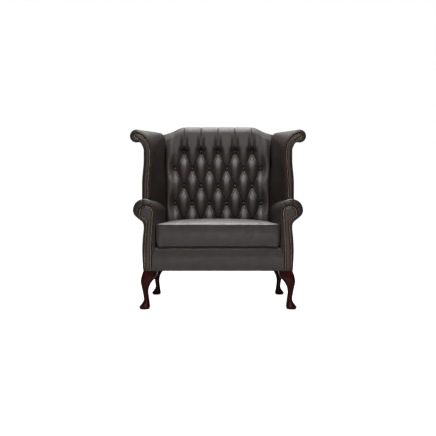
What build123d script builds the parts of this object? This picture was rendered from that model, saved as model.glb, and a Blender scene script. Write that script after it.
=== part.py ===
"""Cuddle chair: a high-backed wing chair, one and a half seats wide, on four cabriole legs.

X runs across the seat, Y runs from the front to the back and Z runs up. The origin is on the floor under
the middle of the chair. Depths are measured back from the plane of the arm facings.
"""
import os
from math import atan2, cos, floor, pi, radians, sin, sqrt

from build123d import *

os.makedirs("parts", exist_ok=True)

# Overall sizes
overall_width = 1050.0
overall_depth = 860.0
overall_height = 1110.0
side_width = 186.0
body_side_width = 68.0
leg_height = 208.0
arm_height = 600.0
wing_drop = 86.0
crest_rise = 56.0

# Depths
toe_reach = 21.0
wing_depth = 300.0
back_lean = 199.0
rear_leg_inset = 25.0

# Clearances and stock thicknesses
clear = 0.3
overrun = 40.0
leather = 3.0
card = 3.0
board = 24.0
rail_thickness = 22.0
rail_height = 112.0
post_thickness = 28.0
webbing_width = 50.0
webbing_thickness = 2.0
cloth = 1.4
deck_thickness = 11.0

# Legs
knee_size = 68.0
ankle_size = 28.0
pad_foot_size = 59.0
foot_disc_size = 48.0
foot_disc_height = 8.0
glide_diameter = 22.0
glide_height = 3.0
bolt_diameter = 8.0
bolt_length = 84.0
bolt_inset = 50.0
block_size = 72.0
block_height = 52.0
corner_chords = 3
rod_sides = 12

# Arms
arm_roll_radius = 62.0
arm_neck_drop = 69.0
arm_neck_inset = 8.0
arm_belly = 5.0
arm_under_angle = 30.0
arm_rim = 10.0
arm_roll_chords = 10
arm_belly_chords = 4
rim_shares = ((1.0, 0.0), (0.3, 0.3), (0.0, 1.0))
arm_board_inset = 8.0
arm_pad = 22.0
arm_rail_width = 40.0
arm_rail_height = 38.0
tack_rail_height = 30.0

# Arm facings
facing_thickness = 8.0
facing_ring_margin = 21.0
facing_ring_drop = 15.0
facing_ring_shift = 10.0
facing_stem_width = 42.0
facing_stem_margin = 5.0
facing_neck_drop = 47.0
facing_neck_inset = 11.0
facing_under_angle = 20.0

# Wings
wing_front_width = 55.0
wing_seat_shift = 13.0
wing_splay = 10.0
wing_scroll_radius = 39.5
wing_flare_angle = 69.0
wing_neck_radius = 30.0
wing_rear_inset = 5.0
wing_roll_radius = 24.0
wing_roll_inset = 18.0
wing_rear_neck_radius = 20.0
wing_rim = 7.0
wing_board_inset = 11.5
wing_pad = 16.0
wing_rail_gap = 2.5
wing_facing_margin = 14.0
wing_facing_outer_margin = 2.0
wing_facing_ring_radius = 18.0
wing_facing_neck_radius = 95.0
flare_chords = 5
scroll_chords = 9
neck_chords = 4
splay_shares = (0.0, 0.33, 0.83)

# Studs
stud_diameter = 9.6
stud_height = 3.2
stud_gap = 1.4
stud_margin = 5.6
stud_sides = 6
stud_taper = 45.0

# Back
crest_margin = 7.0
crest_roll_radius = 45.0
crest_back_radius = 10.0
crest_shares = (0.0, 0.2, 0.5, 0.78, 1.0)
lean_share = 0.125
shoulder_step = 15.0
foam_at_deck = 6.5
foam_at_shoulder = 50.1
pad_backing = 7.0
rail_crest_inset = 26.0
back_rail_height = 60.0
foam_drop = 40.0
side_tuck = 14.0
back_strap_count = 5

# Deep buttoning
button_columns = 5
button_border = 71.0
button_row_pitch = 114.5
top_button_drop = 116.0
button_diameter = 19.0
button_height = 7.0
button_sides = 8
button_seat_width = 23.0
button_seat_height = 22.0
tuft_depth = 26.0
pleat_depth = 18.0
pleat_rise = 15.0
flute_depth = 7.0
flute_width = 5.0
border_rise = 6.0
bulge_shares = (0.0, 0.33, 0.67)

# Front border, deck and cushion
border_roll = 5.0
cushion_gap = 2.0
cushion_front_depth = 3.0
cushion_side_height = 122.0
cushion_crown = 33.0
cushion_taper = 11.0
cushion_side_bulge = 1.6
cushion_corner = 14.0
cushion_end_shares = ((0.0, 1.0), (0.33, 0.33))
cushion_end_crown_share = 0.15
cushion_depth_shares = (0.04, 0.14, 0.3, 0.5, 0.7, 0.86, 0.96)
cushion_crown_shares = (0.31, 0.58, 0.87, 1.0, 0.87, 0.58, 0.31)
cross_strap_count = 4
zip_margin = 82.4
zip_width = 16.0
zip_rise = 65.0
slider_length = 14.0
slider_thickness = 4.0
pull_width = 5.0
pull_length = 20.0

# Places worked out from the sizes above
face_y = toe_reach - overall_depth / 2
seat_half = overall_width / 2 - side_width
body_half = seat_half + body_side_width
rail_bottom = leg_height + cloth
rail_top = rail_bottom + rail_height
deck_height = rail_top + 2 * webbing_thickness + 2 * clear + deck_thickness
shoulder_height = overall_height - crest_rise
arm_roll_x = seat_half + arm_roll_radius
arm_roll_z = arm_height - arm_roll_radius
arm_neck_height = arm_roll_z - arm_neck_drop
facing_ring_radius = arm_roll_radius - facing_ring_margin
wing_inner_front = arm_roll_x - wing_seat_shift
wing_outer_front = wing_inner_front + wing_front_width
wing_outer_rear = body_half - wing_rear_inset
scroll_x = overall_width / 2 - wing_scroll_radius
scroll_z = overall_height - wing_drop - wing_scroll_radius
shoulder_half = seat_half + shoulder_step
stud_pitch = stud_diameter + stud_gap
frame_offset = card + clear
post_offset = frame_offset + post_thickness
inner_offset = post_offset + webbing_thickness + clear
post_inner = shoulder_half + leather
post_outer = body_half - arm_neck_inset - leather - clear
wing_roll_x = wing_outer_rear - wing_roll_inset
wing_roll_z = shoulder_height - wing_roll_radius
post_top = wing_roll_z - clear
wing_flare = radians(wing_flare_angle)
wing_bend_span = scroll_x - wing_scroll_radius * cos(wing_flare) - wing_inner_front
wing_bend_radius = wing_bend_span / (1 - cos(wing_flare))
wing_bend_height = scroll_z - (wing_bend_radius - wing_scroll_radius) * sin(wing_flare)
splay_span = wing_bend_height - arm_height
splay_heights = (arm_roll_z, *(arm_height + share * splay_span for share in splay_shares[1:]))
wing_rail_size = sqrt(2) * (wing_roll_radius - leather - clear - wing_rail_gap)

# Depths worked out from the sizes above
crest_depth = overall_depth - toe_reach
back_foot_depth = crest_depth - back_lean
wing_bend_depth = back_foot_depth
rear_leg_depth = back_foot_depth - rear_leg_inset
back_rake = back_lean / (overall_height - crest_back_radius - leg_height)
crown_offset = inner_offset + pad_backing + tuft_depth
crown_foot_depth = back_foot_depth - crown_offset
back_seat_depth = crown_foot_depth + (deck_height - leg_height) * back_rake - foam_at_deck
shoulder_depth = crown_foot_depth + (shoulder_height - leg_height) * back_rake - foam_at_shoulder
crown_rake = (shoulder_depth - back_seat_depth) / (shoulder_height - deck_height)

# Rows of buttons, zip and cushion worked out from the sizes above
button_pitch = 2 * (shoulder_half - button_border) / button_columns
crest_half = (button_columns - 1) / 2 * button_pitch + crest_margin
crest_step = shoulder_half - crest_half
crest_lean_radius = (crest_step * crest_step + crest_rise * crest_rise) / (4 * crest_rise)
top_button_height = shoulder_height - top_button_drop
button_rows = floor((top_button_height - deck_height) / button_row_pitch)
back_foam_top = shoulder_height - foam_drop
cushion_rear_depth = back_seat_depth - cushion_gap
cushion_edge_height = deck_height + cushion_side_height
zip_half = seat_half - cushion_gap - cushion_side_bulge - cushion_taper - zip_margin
zip_height = deck_height + zip_rise


def at(depth):
    """World Y of a depth behind the plane of the arm facings."""
    return face_y + depth


def outside_y(z):
    """World Y of the raked plane of the outside back."""
    return at(back_foot_depth + (z - leg_height) * back_rake)


def crown_y(z):
    """World Y of the foremost line of the inside back."""
    return at(back_seat_depth + (z - deck_height) * crown_rake)


def xz(x, z):
    return Vector(x, 0, z)


def run_back(face, start, end):
    """Carry a face drawn in the front view from one depth to another."""
    return extrude(Pos(0, at(start), 0) * face, amount=end - start, dir=(0, 1, 0))


def block(x0, x1, y0, y1, z0, z1):
    centre = ((x0 + x1) / 2, (y0 + y1) / 2, (z0 + z1) / 2)
    return Pos(*centre) * Box(x1 - x0, y1 - y0, z1 - z0)


def side_profile(points, half):
    """A plate drawn in the side view, given as Y and Z, reaching half each way across the chair."""
    face = make_face(Polyline(*[Vector(-half, y, z) for y, z in points], close=True))
    return extrude(face, amount=2 * half, dir=(1, 0, 0))


def behind(offset, bottom=0.0, top=None):
    """Everything behind a plane that lies in front of the outside back by an offset."""
    top = overall_height + overrun if top is None else top
    far = at(crest_depth) + 2 * overrun
    points = [(outside_y(bottom) - offset, bottom), (outside_y(top) - offset, top), (far, top), (far, bottom)]
    return side_profile(points, overall_width)


def back_layer(outline, near, far):
    """The part of a front-view outline that lies between two planes parallel to the outside back."""
    prism = run_back(outline, 0, overall_depth + overrun)
    return (prism & behind(far)) - behind(near)


def left_of(solid):
    return mirror(solid, about=Plane.YZ)


def save(name, *solids):
    pieces = [piece for solid in solids for piece in solid.solids()]
    shape = pieces[0] if len(pieces) == 1 else Compound(children=pieces)
    shape.label = name
    export_step(shape, os.path.join("parts", name + ".step"))


def save_pair(name, solid):
    save(name + "_right", solid)
    save(name + "_left", left_of(solid))


# Shapes with flat facets

def chords(centre, radius, start, end, count):
    """Points along an arc of the front view, its ends left out."""
    turn = (end - start) / count
    angles = [start + turn * index for index in range(1, count)]
    return [xz(centre.X + radius * cos(angle), centre.Z + radius * sin(angle)) for angle in angles]


def moved_back(points, depth):
    return [Vector(point.X, at(depth), point.Z) for point in points]


def rim_rings(profile, inset, start, rim):
    """The rings of a rounded front rim, from the foremost one back to the full profile."""
    rings = []
    for draw_share, depth_share in rim_shares:
        rings.append(moved_back(profile(inset + draw_share * rim), start + depth_share * rim))
    return rings


def facet(*points):
    return make_face(Polyline(*points, close=True))


def rod(radius, length):
    """An upright round rod with a few flat sides, from its middle."""
    return Pos(0, 0, -length / 2) * extrude(RegularPolygon(radius, rod_sides), amount=length)


def skin(rings):
    """A solid with flat three-cornered facets between closed rings of points."""
    facets = [facet(*rings[0]), facet(*rings[-1])]
    for near, far in zip(rings, rings[1:]):
        for index, start in enumerate(near):
            after = (index + 1) % len(near)
            if (start - far[after]).length <= (near[after] - far[index]).length:
                facets.append(facet(start, near[after], far[after]))
                facets.append(facet(start, far[after], far[index]))
            else:
                facets.append(facet(start, near[after], far[index]))
                facets.append(facet(near[after], far[after], far[index]))
    return Solid(Shell(facets))


# Sections of the arm

def arm_points(inset, bottom):
    """The scroll arm seen from the front, drawn in by an inset all round but at the bottom."""
    radius = arm_roll_radius - inset
    inner = arm_roll_x - radius
    under = radians(arm_under_angle)
    neck = xz(body_half - arm_neck_inset - inset, arm_neck_height + inset / sqrt(3))
    belly = xz(body_half + arm_belly - inset, (arm_neck_height + leg_height) / 2)
    foot = xz(body_half - inset, leg_height)
    outside = ThreePointArc(neck, belly, foot)
    points = [xz(inner, bottom), xz(inner, arm_roll_z)]
    points.extend(chords(xz(arm_roll_x, arm_roll_z), radius, pi, -under, arm_roll_chords))
    points.append(xz(arm_roll_x + radius * cos(under), arm_roll_z - radius * sin(under)))
    points.append(neck)
    points.extend(outside.position_at(index / arm_belly_chords) for index in range(1, arm_belly_chords))
    points.append(foot)
    if bottom != leg_height:
        points.append(xz(foot.X, bottom))
    return points


def arm_loft(inset, start, bottom):
    """The whole arm, drawn in by an inset, from its front rim to the outside back."""
    rings = rim_rings(lambda draw: arm_points(draw, bottom), inset, start, arm_rim)
    rings.append(moved_back(arm_points(inset, bottom), crest_depth))
    return skin(rings)


def arm_facing_edges(inset):
    """The line of an arm facing: up the outside, round the ring and down the inside."""
    radius = facing_ring_radius - inset
    ring_x = arm_roll_x - facing_ring_shift
    ring_z = arm_roll_z - facing_ring_drop
    under = radians(facing_under_angle)
    outer = body_half - facing_stem_margin - inset
    inner = outer - facing_stem_width + 2 * inset
    neck = xz(outer - facing_neck_inset, ring_z - facing_neck_drop + inset)
    knee = (arm_neck_height + leg_height) / 2
    start = xz(ring_x + radius * cos(under), ring_z - radius * sin(under))
    top = xz(ring_x, ring_z + radius)
    side = xz(ring_x - radius, ring_z)
    before_top = xz(ring_x + radius * sin(under), ring_z + radius * cos(under))
    after_top = xz(ring_x - radius * sin(under), ring_z + radius * cos(under))
    return [
        Line(xz(outer, leg_height + inset), xz(outer, knee)),
        Line(xz(outer, knee), neck),
        Line(neck, start),
        ThreePointArc(start, before_top, top),
        ThreePointArc(top, after_top, side),
        Line(side, xz(inner, knee)),
        Line(xz(inner, knee), xz(inner, leg_height + inset)),
        Line(xz(inner, leg_height + inset), xz(outer, leg_height + inset)),
    ]


# Sections of the wing

def wing_points(inner_line, outer_line, centre, radius, neck_radius):
    """The wing seen from the front: up the inside, over the scroll and down the outside.

    The inner and outer lines give its X at the arm, at the foot of the splay and at its head.
    """
    flare = wing_flare
    inner = inner_line[-1]
    outer = outer_line[-1]
    touch = centre + xz(-cos(flare), sin(flare)) * radius
    flare_radius = (touch.X - inner) / (1 - cos(flare))
    flare_centre = xz(inner + flare_radius, touch.Z - flare_radius * sin(flare))
    span = radius + neck_radius
    across = outer + neck_radius - centre.X
    drop = sqrt(span * span - across * across)
    neck_centre = xz(outer + neck_radius, centre.Z - drop)
    leave_angle = atan2(-drop, across)
    leave = centre + xz(cos(leave_angle), sin(leave_angle)) * radius
    points = [xz(x, z) for x, z in zip(inner_line, splay_heights)]
    points.append(xz(inner, flare_centre.Z))
    points.extend(chords(flare_centre, flare_radius, pi, pi - flare, flare_chords))
    points.append(touch)
    points.extend(chords(centre, radius, pi - flare, leave_angle, scroll_chords))
    points.append(leave)
    points.extend(chords(neck_centre, neck_radius, leave_angle + pi, pi, neck_chords))
    points.append(xz(outer, neck_centre.Z))
    points.extend(xz(x, z) for x, z in reversed(list(zip(outer_line, splay_heights))))
    return points


def wing_front(inset):
    inner = wing_inner_front + inset
    outer = wing_outer_front - inset
    inner_line = (inner + wing_splay, inner + wing_splay, inner)
    outer_line = (outer + wing_splay, outer + wing_splay, outer)
    return wing_points(inner_line, outer_line, xz(scroll_x, scroll_z), wing_scroll_radius - inset,
                       wing_neck_radius + inset)


def wing_rear(inset):
    lean = (shoulder_half - seat_half) / (shoulder_height - arm_roll_z)
    inner_line = [seat_half + inset + lean * (z - arm_roll_z) for z in splay_heights]
    inner_line[-1] = shoulder_half + inset
    outer_line = [wing_outer_rear - inset for z in splay_heights]
    return wing_points(inner_line, outer_line, xz(wing_roll_x, wing_roll_z), wing_roll_radius - inset,
                       wing_rear_neck_radius + inset)


def wing_facing_points(inset):
    inner = wing_inner_front + wing_facing_margin + inset
    outer = wing_outer_front - wing_facing_outer_margin - inset
    inner_line = (inner + wing_splay, inner + wing_splay, inner)
    outer_line = (outer + wing_splay, outer + wing_splay, outer)
    return wing_points(inner_line, outer_line, xz(scroll_x, scroll_z), wing_facing_ring_radius - inset,
                       wing_facing_neck_radius + inset)


def wing_loft(inset, start):
    """The whole wing, drawn in by an inset, from its front rim to the outside back."""
    rings = rim_rings(wing_front, inset, start, wing_rim)
    rings.append(moved_back(wing_rear(inset), wing_bend_depth))
    rings.append(moved_back(wing_rear(inset), crest_depth))
    return skin(rings)


# Outline of the back

def crest_half_width(z):
    """Half the width of the camel top at a height above the shoulders."""
    radius = crest_lean_radius
    middle = (shoulder_height + overall_height) / 2
    if z <= middle:
        drop = radius - (z - shoulder_height)
        return shoulder_half - sqrt(radius * radius - drop * drop)
    drop = radius - (overall_height - z)
    return crest_half + sqrt(radius * radius - drop * drop)


def back_outline(inset, bottom):
    """The back seen from the front, with its camel top drawn in by an inset."""
    half = shoulder_half
    top = overall_height - inset
    shoulder = shoulder_height - inset
    part_way = (top - shoulder) * lean_share
    edges = [Line(xz(-half, bottom), xz(half, bottom)), Line(xz(half, bottom), xz(half, shoulder))]
    middle = xz((crest_half + shoulder_half) / 2, (top + shoulder) / 2)
    quarter_low = xz(crest_half_width(shoulder_height + part_way), shoulder + part_way)
    quarter_high = xz(crest_half_width(overall_height - part_way), top - part_way)
    right = [
        ThreePointArc(xz(shoulder_half, shoulder), quarter_low, middle),
        ThreePointArc(middle, quarter_high, xz(crest_half, top)),
    ]
    edges.extend(right)
    edges.append(Line(xz(crest_half, top), xz(-crest_half, top)))
    edges.extend(mirror(edge, about=Plane.YZ) for edge in reversed(right))
    edges.append(Line(xz(-half, shoulder), xz(-half, bottom)))
    return make_face(edges)


def straight_outline(x0, x1, z0, z1):
    return facet(xz(x0, z0), xz(x1, z0), xz(x1, z1), xz(x0, z1))


def camel_rail_outline():
    """The top rail: straight below, camel-shaped above."""
    bottom = back_foam_top - back_rail_height / 2
    return back_outline(rail_crest_inset, bottom)


# Frame

def rounded_square(size, rounding_share, middle, height):
    """The corners of a square leg section, each cut off in short chords."""
    radius = rounding_share * size
    reach = size / 2 - radius
    points = []
    for quarter in range(4):
        start = quarter * pi / 2
        corner_x = reach * sqrt(2) * cos(start + pi / 4)
        corner_y = reach * sqrt(2) * sin(start + pi / 4)
        for index in range(corner_chords + 1):
            angle = start + pi / 2 * index / corner_chords
            x = corner_x + radius * cos(angle) - middle
            y = corner_y + radius * sin(angle) + middle
            points.append(Vector(x, y, height))
    return points


def build_legs():
    """Cabriole legs: each section is a rounded square whose centre stands in from the body's corner."""
    height_shares = (1.0, 0.89, 0.80, 0.715, 0.60, 0.50, 0.42, 0.28, 0.21, 0.145, 0.07)
    knee_shares = (1.05, 1.26, 1.12, 0.74, 0.35, 0.12, 0.05, 0.0, 0.0, 0.0, 0.0)
    foot_shares = (0.0, 0.0, 0.0, 0.0, 0.0, 0.0, 0.0, 0.0, 0.13, 0.5, 1.0)
    inset_shares = (0.52, 0.44, 0.35, 0.23, 0.18, 0.18, 0.20, 0.26, 0.26, 0.21)
    round_shares = (0.12, 0.18, 0.26, 0.34, 0.4, 0.44, 0.46, 0.48, 0.48, 0.48, 0.48)
    foot_inset = pad_foot_size / 2 - toe_reach
    insets = [share * knee_size for share in inset_shares] + [foot_inset]
    rings = []
    stations = zip(height_shares, knee_shares, foot_shares, insets, round_shares)
    for height, knee, foot, inset, rounding in stations:
        size = ankle_size + knee * (knee_size - ankle_size) + foot * (pad_foot_size - ankle_size)
        rings.append(rounded_square(size, rounding, inset, height * leg_height))
    for height in (foot_disc_height, glide_height):
        rings.append(rounded_square(foot_disc_size, round_shares[-1], foot_inset, height))
    leg = skin(rings) - bolt_rod(clear)
    glide = Pos(-foot_inset, foot_inset, glide_height / 2) * rod(glide_diameter / 2, glide_height)
    return leg, glide


def bolt_rod(grow):
    """The hanger bolt that runs from a leg up into its corner block."""
    return Pos(-bolt_inset, bolt_inset, leg_height) * rod(bolt_diameter / 2 + grow, bolt_length + 2 * grow)


def place_front(solid):
    return Pos(body_half, at(0), 0) * solid


def place_rear(solid):
    return Pos(body_half, at(rear_leg_depth), 0) * mirror(solid, about=Plane.XZ)


def corner_block():
    """A triangular block that ties two rails and takes the leg's bolt."""
    face = facet(Vector(0, 0, 0), Vector(-block_size, 0, 0), Vector(0, block_size, 0))
    return extrude(face, amount=block_height)


leg, glide = build_legs()
save_pair("front_leg", place_front(leg))
save_pair("rear_leg", place_rear(leg))
right_glides = place_front(glide) + place_rear(glide)
save("foot_glides", right_glides, left_of(right_glides))
right_bolts = place_front(bolt_rod(0)) + place_rear(bolt_rod(0))
save("leg_bolts", right_bolts, left_of(right_bolts))

arm_board_front = facing_thickness + clear
arm_board_back = arm_board_front + board
side_rail_outer = body_half - leather - clear - arm_neck_inset / 2
side_rail_inner = side_rail_outer - rail_thickness
board_inner = seat_half + arm_board_inset

bolt_holes = place_front(bolt_rod(clear)) + place_rear(bolt_rod(clear))
front_block = Pos(side_rail_inner - clear, at(arm_board_back + clear), leg_height) * corner_block()
rear_face = outside_y(leg_height) - post_offset - clear
rear_block = Pos(side_rail_inner - clear, rear_face, leg_height) * mirror(corner_block(), about=Plane.XZ)
right_blocks = (front_block + rear_block) - bolt_holes
save("corner_blocks", right_blocks, left_of(right_blocks))

front_rail = block(-board_inner + clear, board_inner - clear, at(arm_board_front), at(arm_board_back),
                   rail_bottom, rail_top)
save("front_seat_rail", front_rail)
rear_rail = back_layer(straight_outline(-post_inner + clear, post_inner - clear, rail_bottom, rail_top),
                       frame_offset, post_offset)
save("rear_seat_rail", rear_rail)
side_rail = block(side_rail_inner, side_rail_outer, at(arm_board_back + clear), at(crest_depth),
                  rail_bottom, rail_top + webbing_thickness + clear)
side_rail = side_rail - behind(post_offset + clear)
save_pair("side_seat_rail", side_rail)

post = back_layer(straight_outline(post_inner, post_outer, rail_bottom, post_top), frame_offset, post_offset)
save_pair("back_post", post)
top_rail = back_layer(camel_rail_outline(), frame_offset, post_offset)
save("back_top_rail", top_rail)
lower_rail_low = deck_height + tack_rail_height
lower_rail_outline = straight_outline(-post_inner + clear, post_inner - clear, lower_rail_low,
                                      lower_rail_low + back_rail_height)
save("back_lower_rail", back_layer(lower_rail_outline, frame_offset, post_offset))

# Arms

def frame_room():
    """The space kept free round a back post and the webbing in front of it."""
    outline = straight_outline(0, post_outer + clear, 0, post_top + clear)
    return run_back(outline, 0, overall_depth + overrun) & behind(inner_offset)


def long_block(x0, x1, z0, z1):
    """A block that runs through the chair from the front to the back."""
    return block(x0, x1, at(-overrun), at(crest_depth) + overrun, z0, z1)


def build_arm():
    pieces = {}

    buried = leg_height - overrun
    outer = arm_loft(0, clear, leg_height)
    inner = arm_loft(leather, leather + clear, buried)
    hole = run_back(make_face(arm_facing_edges(-clear)), -overrun, arm_board_front)
    sleeve = outer - inner - hole
    pad_edge = board_inner + arm_pad
    neck_side = long_block(pad_edge, overall_width, -overrun, arm_neck_height)
    below_deck = long_block(0, pad_edge, -overrun, deck_height + clear)
    pieces["inside_arm_cover"] = sleeve - neck_side - below_deck - frame_room() - behind(frame_offset)
    lower = long_block(pad_edge, overall_width, -overrun, arm_neck_height - clear)
    pieces["outside_arm_cover"] = (sleeve & lower) - behind(frame_offset)
    board_outline = facet(*arm_points(arm_board_inset, rail_bottom))
    pieces["arm_scroll_board"] = run_back(board_outline, arm_board_front, arm_board_back)
    rail_left = arm_roll_x - arm_rail_width / 2
    rail_right = rail_left + arm_rail_width
    rail_low = arm_roll_z - arm_rail_height
    rail_start = at(arm_board_back + clear)
    rail = block(rail_left, rail_right, rail_start, at(crest_depth), rail_low, arm_roll_z)
    pieces["arm_rail"] = rail - behind(post_offset + clear)
    tack_left = pad_edge - leather
    tack_low = deck_height + clear
    tack = block(tack_left, post_outer, rail_start, at(crest_depth), tack_low, tack_low + tack_rail_height)
    pieces["arm_tack_rail"] = tack - behind(post_offset + clear)
    filling = arm_loft(leather + clear, leather + 2 * clear, buried)
    hollow = long_block(tack_left - clear, overall_width, -overrun, arm_neck_height + clear)
    low = long_block(0, overall_width, -overrun, tack_low)
    rail_room = block(rail_left - clear, rail_right + clear, at(arm_board_back), at(crest_depth) + overrun,
                      rail_low - clear, arm_roll_z + clear)
    room_outline = facet(*arm_points(arm_board_inset - clear, buried))
    board_room = run_back(room_outline, arm_board_front - clear, arm_board_back + clear)
    filling = filling - hollow - low - rail_room - board_room - hole
    pieces["arm_padding"] = filling - behind(inner_offset + clear)
    pieces["arm_facing"] = run_back(make_face(arm_facing_edges(0)), 0, facing_thickness)
    return pieces


for name, solid in build_arm().items():
    save_pair(name, solid)

# Wings

def rail_bar(grow, front):
    """The square rail inside the wing's scroll, from behind the board to the post."""
    size = wing_rail_size + 2 * grow
    places = [(scroll_x, wing_depth + wing_rim, scroll_z), (wing_roll_x, wing_bend_depth, wing_roll_z),
              (wing_roll_x, crest_depth, wing_roll_z)]
    sections = []
    for x, depth, z in places:
        plane = Plane(origin=(x, at(depth), z), x_dir=(1, 0, 0), z_dir=(0, 1, 0))
        sections.append(plane * Rectangle(size, size))
    ahead = block(0, overall_width, at(0), at(front - grow), 0, overall_height)
    return loft(sections, ruled=True) - ahead


def build_wing():
    pieces = {}
    seat = arm_loft(-clear, 0, leg_height)
    start = wing_depth
    outer = wing_loft(0, start) - seat
    inner = wing_loft(leather, start + leather)
    board_front = start + facing_thickness + clear
    board_end = board_front + rail_thickness
    hole = run_back(facet(*wing_facing_points(-clear)), start - overrun, board_front)
    sleeve = outer - inner - hole
    neck_height = scroll_z - wing_scroll_radius - wing_neck_radius
    front_middle = (wing_inner_front + wing_outer_front + wing_splay) / 2
    rear_middle = (shoulder_half + wing_outer_rear) / 2
    split = facet(
        Vector(front_middle, at(start - overrun), 0), Vector(front_middle, at(start), 0),
        Vector(rear_middle, at(wing_bend_depth), 0), Vector(rear_middle, at(crest_depth) + overrun, 0),
        Vector(overall_width, at(crest_depth) + overrun, 0), Vector(overall_width, at(start - overrun), 0))
    outside_zone = extrude(split, amount=neck_height, dir=(0, 0, 1))
    inside_zone = extrude(split, amount=neck_height + clear, dir=(0, 0, 1))
    pieces["outside_wing_cover"] = (sleeve & outside_zone) - behind(frame_offset)
    pieces["inside_wing_cover"] = sleeve - inside_zone - frame_room() - behind(frame_offset)
    wing_board = run_back(facet(*wing_front(wing_board_inset)), board_front, board_end)
    pieces["wing_scroll_board"] = wing_board - seat
    pieces["wing_rail"] = rail_bar(0, board_end + clear) - behind(post_offset + clear)
    filling = wing_loft(leather + clear, start + leather + clear) - seat
    depth = leather + wing_pad
    front_quad = [
        xz(wing_inner_front + wing_splay + depth, arm_roll_z), xz(wing_outer_front + wing_splay, arm_roll_z),
        xz(wing_outer_front + wing_splay, neck_height), xz(wing_inner_front + depth, neck_height)]
    rear_quad = [
        xz(seat_half + depth, arm_roll_z), xz(wing_outer_rear, arm_roll_z),
        xz(wing_outer_rear, neck_height), xz(shoulder_half + depth, neck_height)]
    hollow = skin([moved_back(front_quad, start), moved_back(rear_quad, wing_bend_depth),
                   moved_back(rear_quad, crest_depth)])
    board_outline = facet(*wing_front(wing_board_inset - clear))
    board_room = run_back(board_outline, board_front - clear, board_end + clear)
    filling = filling - hollow - board_room - rail_bar(clear, board_end + clear) - hole
    pieces["wing_padding"] = filling - behind(inner_offset + clear)
    facing = run_back(facet(*wing_facing_points(0)), start, start + facing_thickness)
    pieces["wing_facing"] = facing - seat
    return pieces


for name, solid in build_wing().items():
    save_pair(name, solid)

# Studs

def studs_along(path, count, depth):
    """Domed nails set at even places along a line."""
    head = extrude(RegularPolygon(stud_diameter / 2, stud_sides), amount=stud_height, taper=stud_taper)
    heads = []
    for index in range(count):
        point = path.position_at(index / count)
        place = Plane(origin=(point.X, at(depth) - clear, point.Z), x_dir=(1, 0, 0), z_dir=(0, -1, 0))
        heads.append(place * head)
    return heads


arm_line = Wire(arm_facing_edges(stud_margin))
arm_studs = studs_along(arm_line, floor(arm_line.length / stud_pitch), 0)
save("arm_studs_right", *arm_studs)
save("arm_studs_left", *[left_of(stud) for stud in arm_studs])
wing_line = Polyline(*wing_facing_points(stud_margin))
wing_studs = studs_along(wing_line, floor(wing_line.length / stud_pitch), wing_depth)
wing_studs = [stud for stud in wing_studs if stud.bounding_box().min.Z > arm_height + clear]
save("wing_studs_right", *wing_studs)
save("wing_studs_left", *[left_of(stud) for stud in wing_studs])

# Back

def pad_half_width(z):
    if z > shoulder_height:
        return crest_half_width(z)
    share = max(0.0, (z - arm_height) / (shoulder_height - arm_height))
    return seat_half + share * (shoulder_half - seat_half) - clear


def pad_level(z, state, seat, tuft, rise):
    """One level of the deep-buttoned pad, as a ring of points.

    State is 1 on a row with a button on the middle line, -1 on a row with none there and 0 half way
    between two rows. Spans are numbered outwards from the middle, half a pitch apart.
    """
    lift = max(0.0, z - (overall_height - crest_roll_radius))
    roll = crest_roll_radius - sqrt(crest_roll_radius * crest_roll_radius - lift * lift)
    crown = crown_y(z) + roll
    valley = crown + tuft
    half = pad_half_width(z)
    side = crown + (side_tuck if z <= shoulder_height else crest_roll_radius - roll)
    points = []
    for span in range(button_columns):
        middle = (2 * span + 1) * button_pitch / 4
        swing = state * (button_pitch / 4 - seat / 2) * (-1) ** span
        points.append((middle - swing, valley))
    outer_x = min(button_columns * button_pitch / 2 + button_seat_width / 2, (points[-1][0] + half) / 2)
    outer_y = valley if state < 0 else crown + border_rise * (1 - state)
    points.append((outer_x, outer_y))
    points.append((half, side))
    rises = []
    for span in range(1, button_columns):
        seat_here = state != 0 and (span % 2 == 0) == (state > 0)
        rises.append(0.0 if seat_here else rise)
    rises.append(0.0 if state < 0 else border_rise)
    rises.append(border_rise)
    middle_rise = 0.0 if state > 0 else rise
    line = [(-x, y) for x, y in reversed(points)] + points
    line_rises = list(reversed(rises)) + [middle_rise] + rises
    ring = []
    for (x0, y0), (x1, y1), bulge in zip(line, line[1:], line_rises):
        bulge = min(bulge, (x1 - x0) / 4)
        for share in bulge_shares:
            height = 4 * bulge * share * (1 - share)
            ring.append(Vector(x0 + share * (x1 - x0), y0 + share * (y1 - y0) - height, z))
    ring.append(Vector(half, side, z))
    tail = max(0.0, z - (overall_height - crest_back_radius))
    rear = outside_y(z) - card - clear - tail
    ring.append(Vector(half, rear, z))
    ring.append(Vector(-half, rear, z))
    return ring


def foam_front(z):
    return crown_y(z) + tuft_depth + pad_backing


def build_pad():
    foot_state = 1 if button_rows % 2 == 1 else -1
    bottom = deck_height + clear
    levels = [pad_level(bottom, foot_state, flute_width, 2 * flute_depth, 2 * flute_depth)]
    for row in reversed(range(button_rows)):
        z = top_button_height - row * button_row_pitch
        state = 1 if row % 2 == 0 else -1
        for side in (-1, 1):
            edge = z + side * button_seat_height / 2
            levels.append(pad_level(edge, state, button_seat_width, tuft_depth, tuft_depth))
        if row:
            levels.append(pad_level(z + button_row_pitch / 2, 0, 0.0, pleat_depth, pleat_rise))
    fade = (shoulder_height - top_button_height) / 2
    levels.append(pad_level(top_button_height + fade, 1, 2 * flute_width, 2 * flute_depth, 2 * flute_depth))
    for share in crest_shares:
        z = shoulder_height + share * crest_rise
        levels.append(pad_level(z, 1, flute_width, flute_depth, flute_depth))
    pad = skin(levels)
    far = at(crest_depth) + overrun
    foam_zone = side_profile([
        (foam_front(0), 0), (foam_front(back_foam_top), back_foam_top), (far, back_foam_top), (far, 0)],
        overall_width)
    rail_zone = run_back(back_outline(rail_crest_inset - clear, 0), 0, overall_depth + overrun)
    return pad - foam_zone - (rail_zone & behind(inner_offset))


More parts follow.
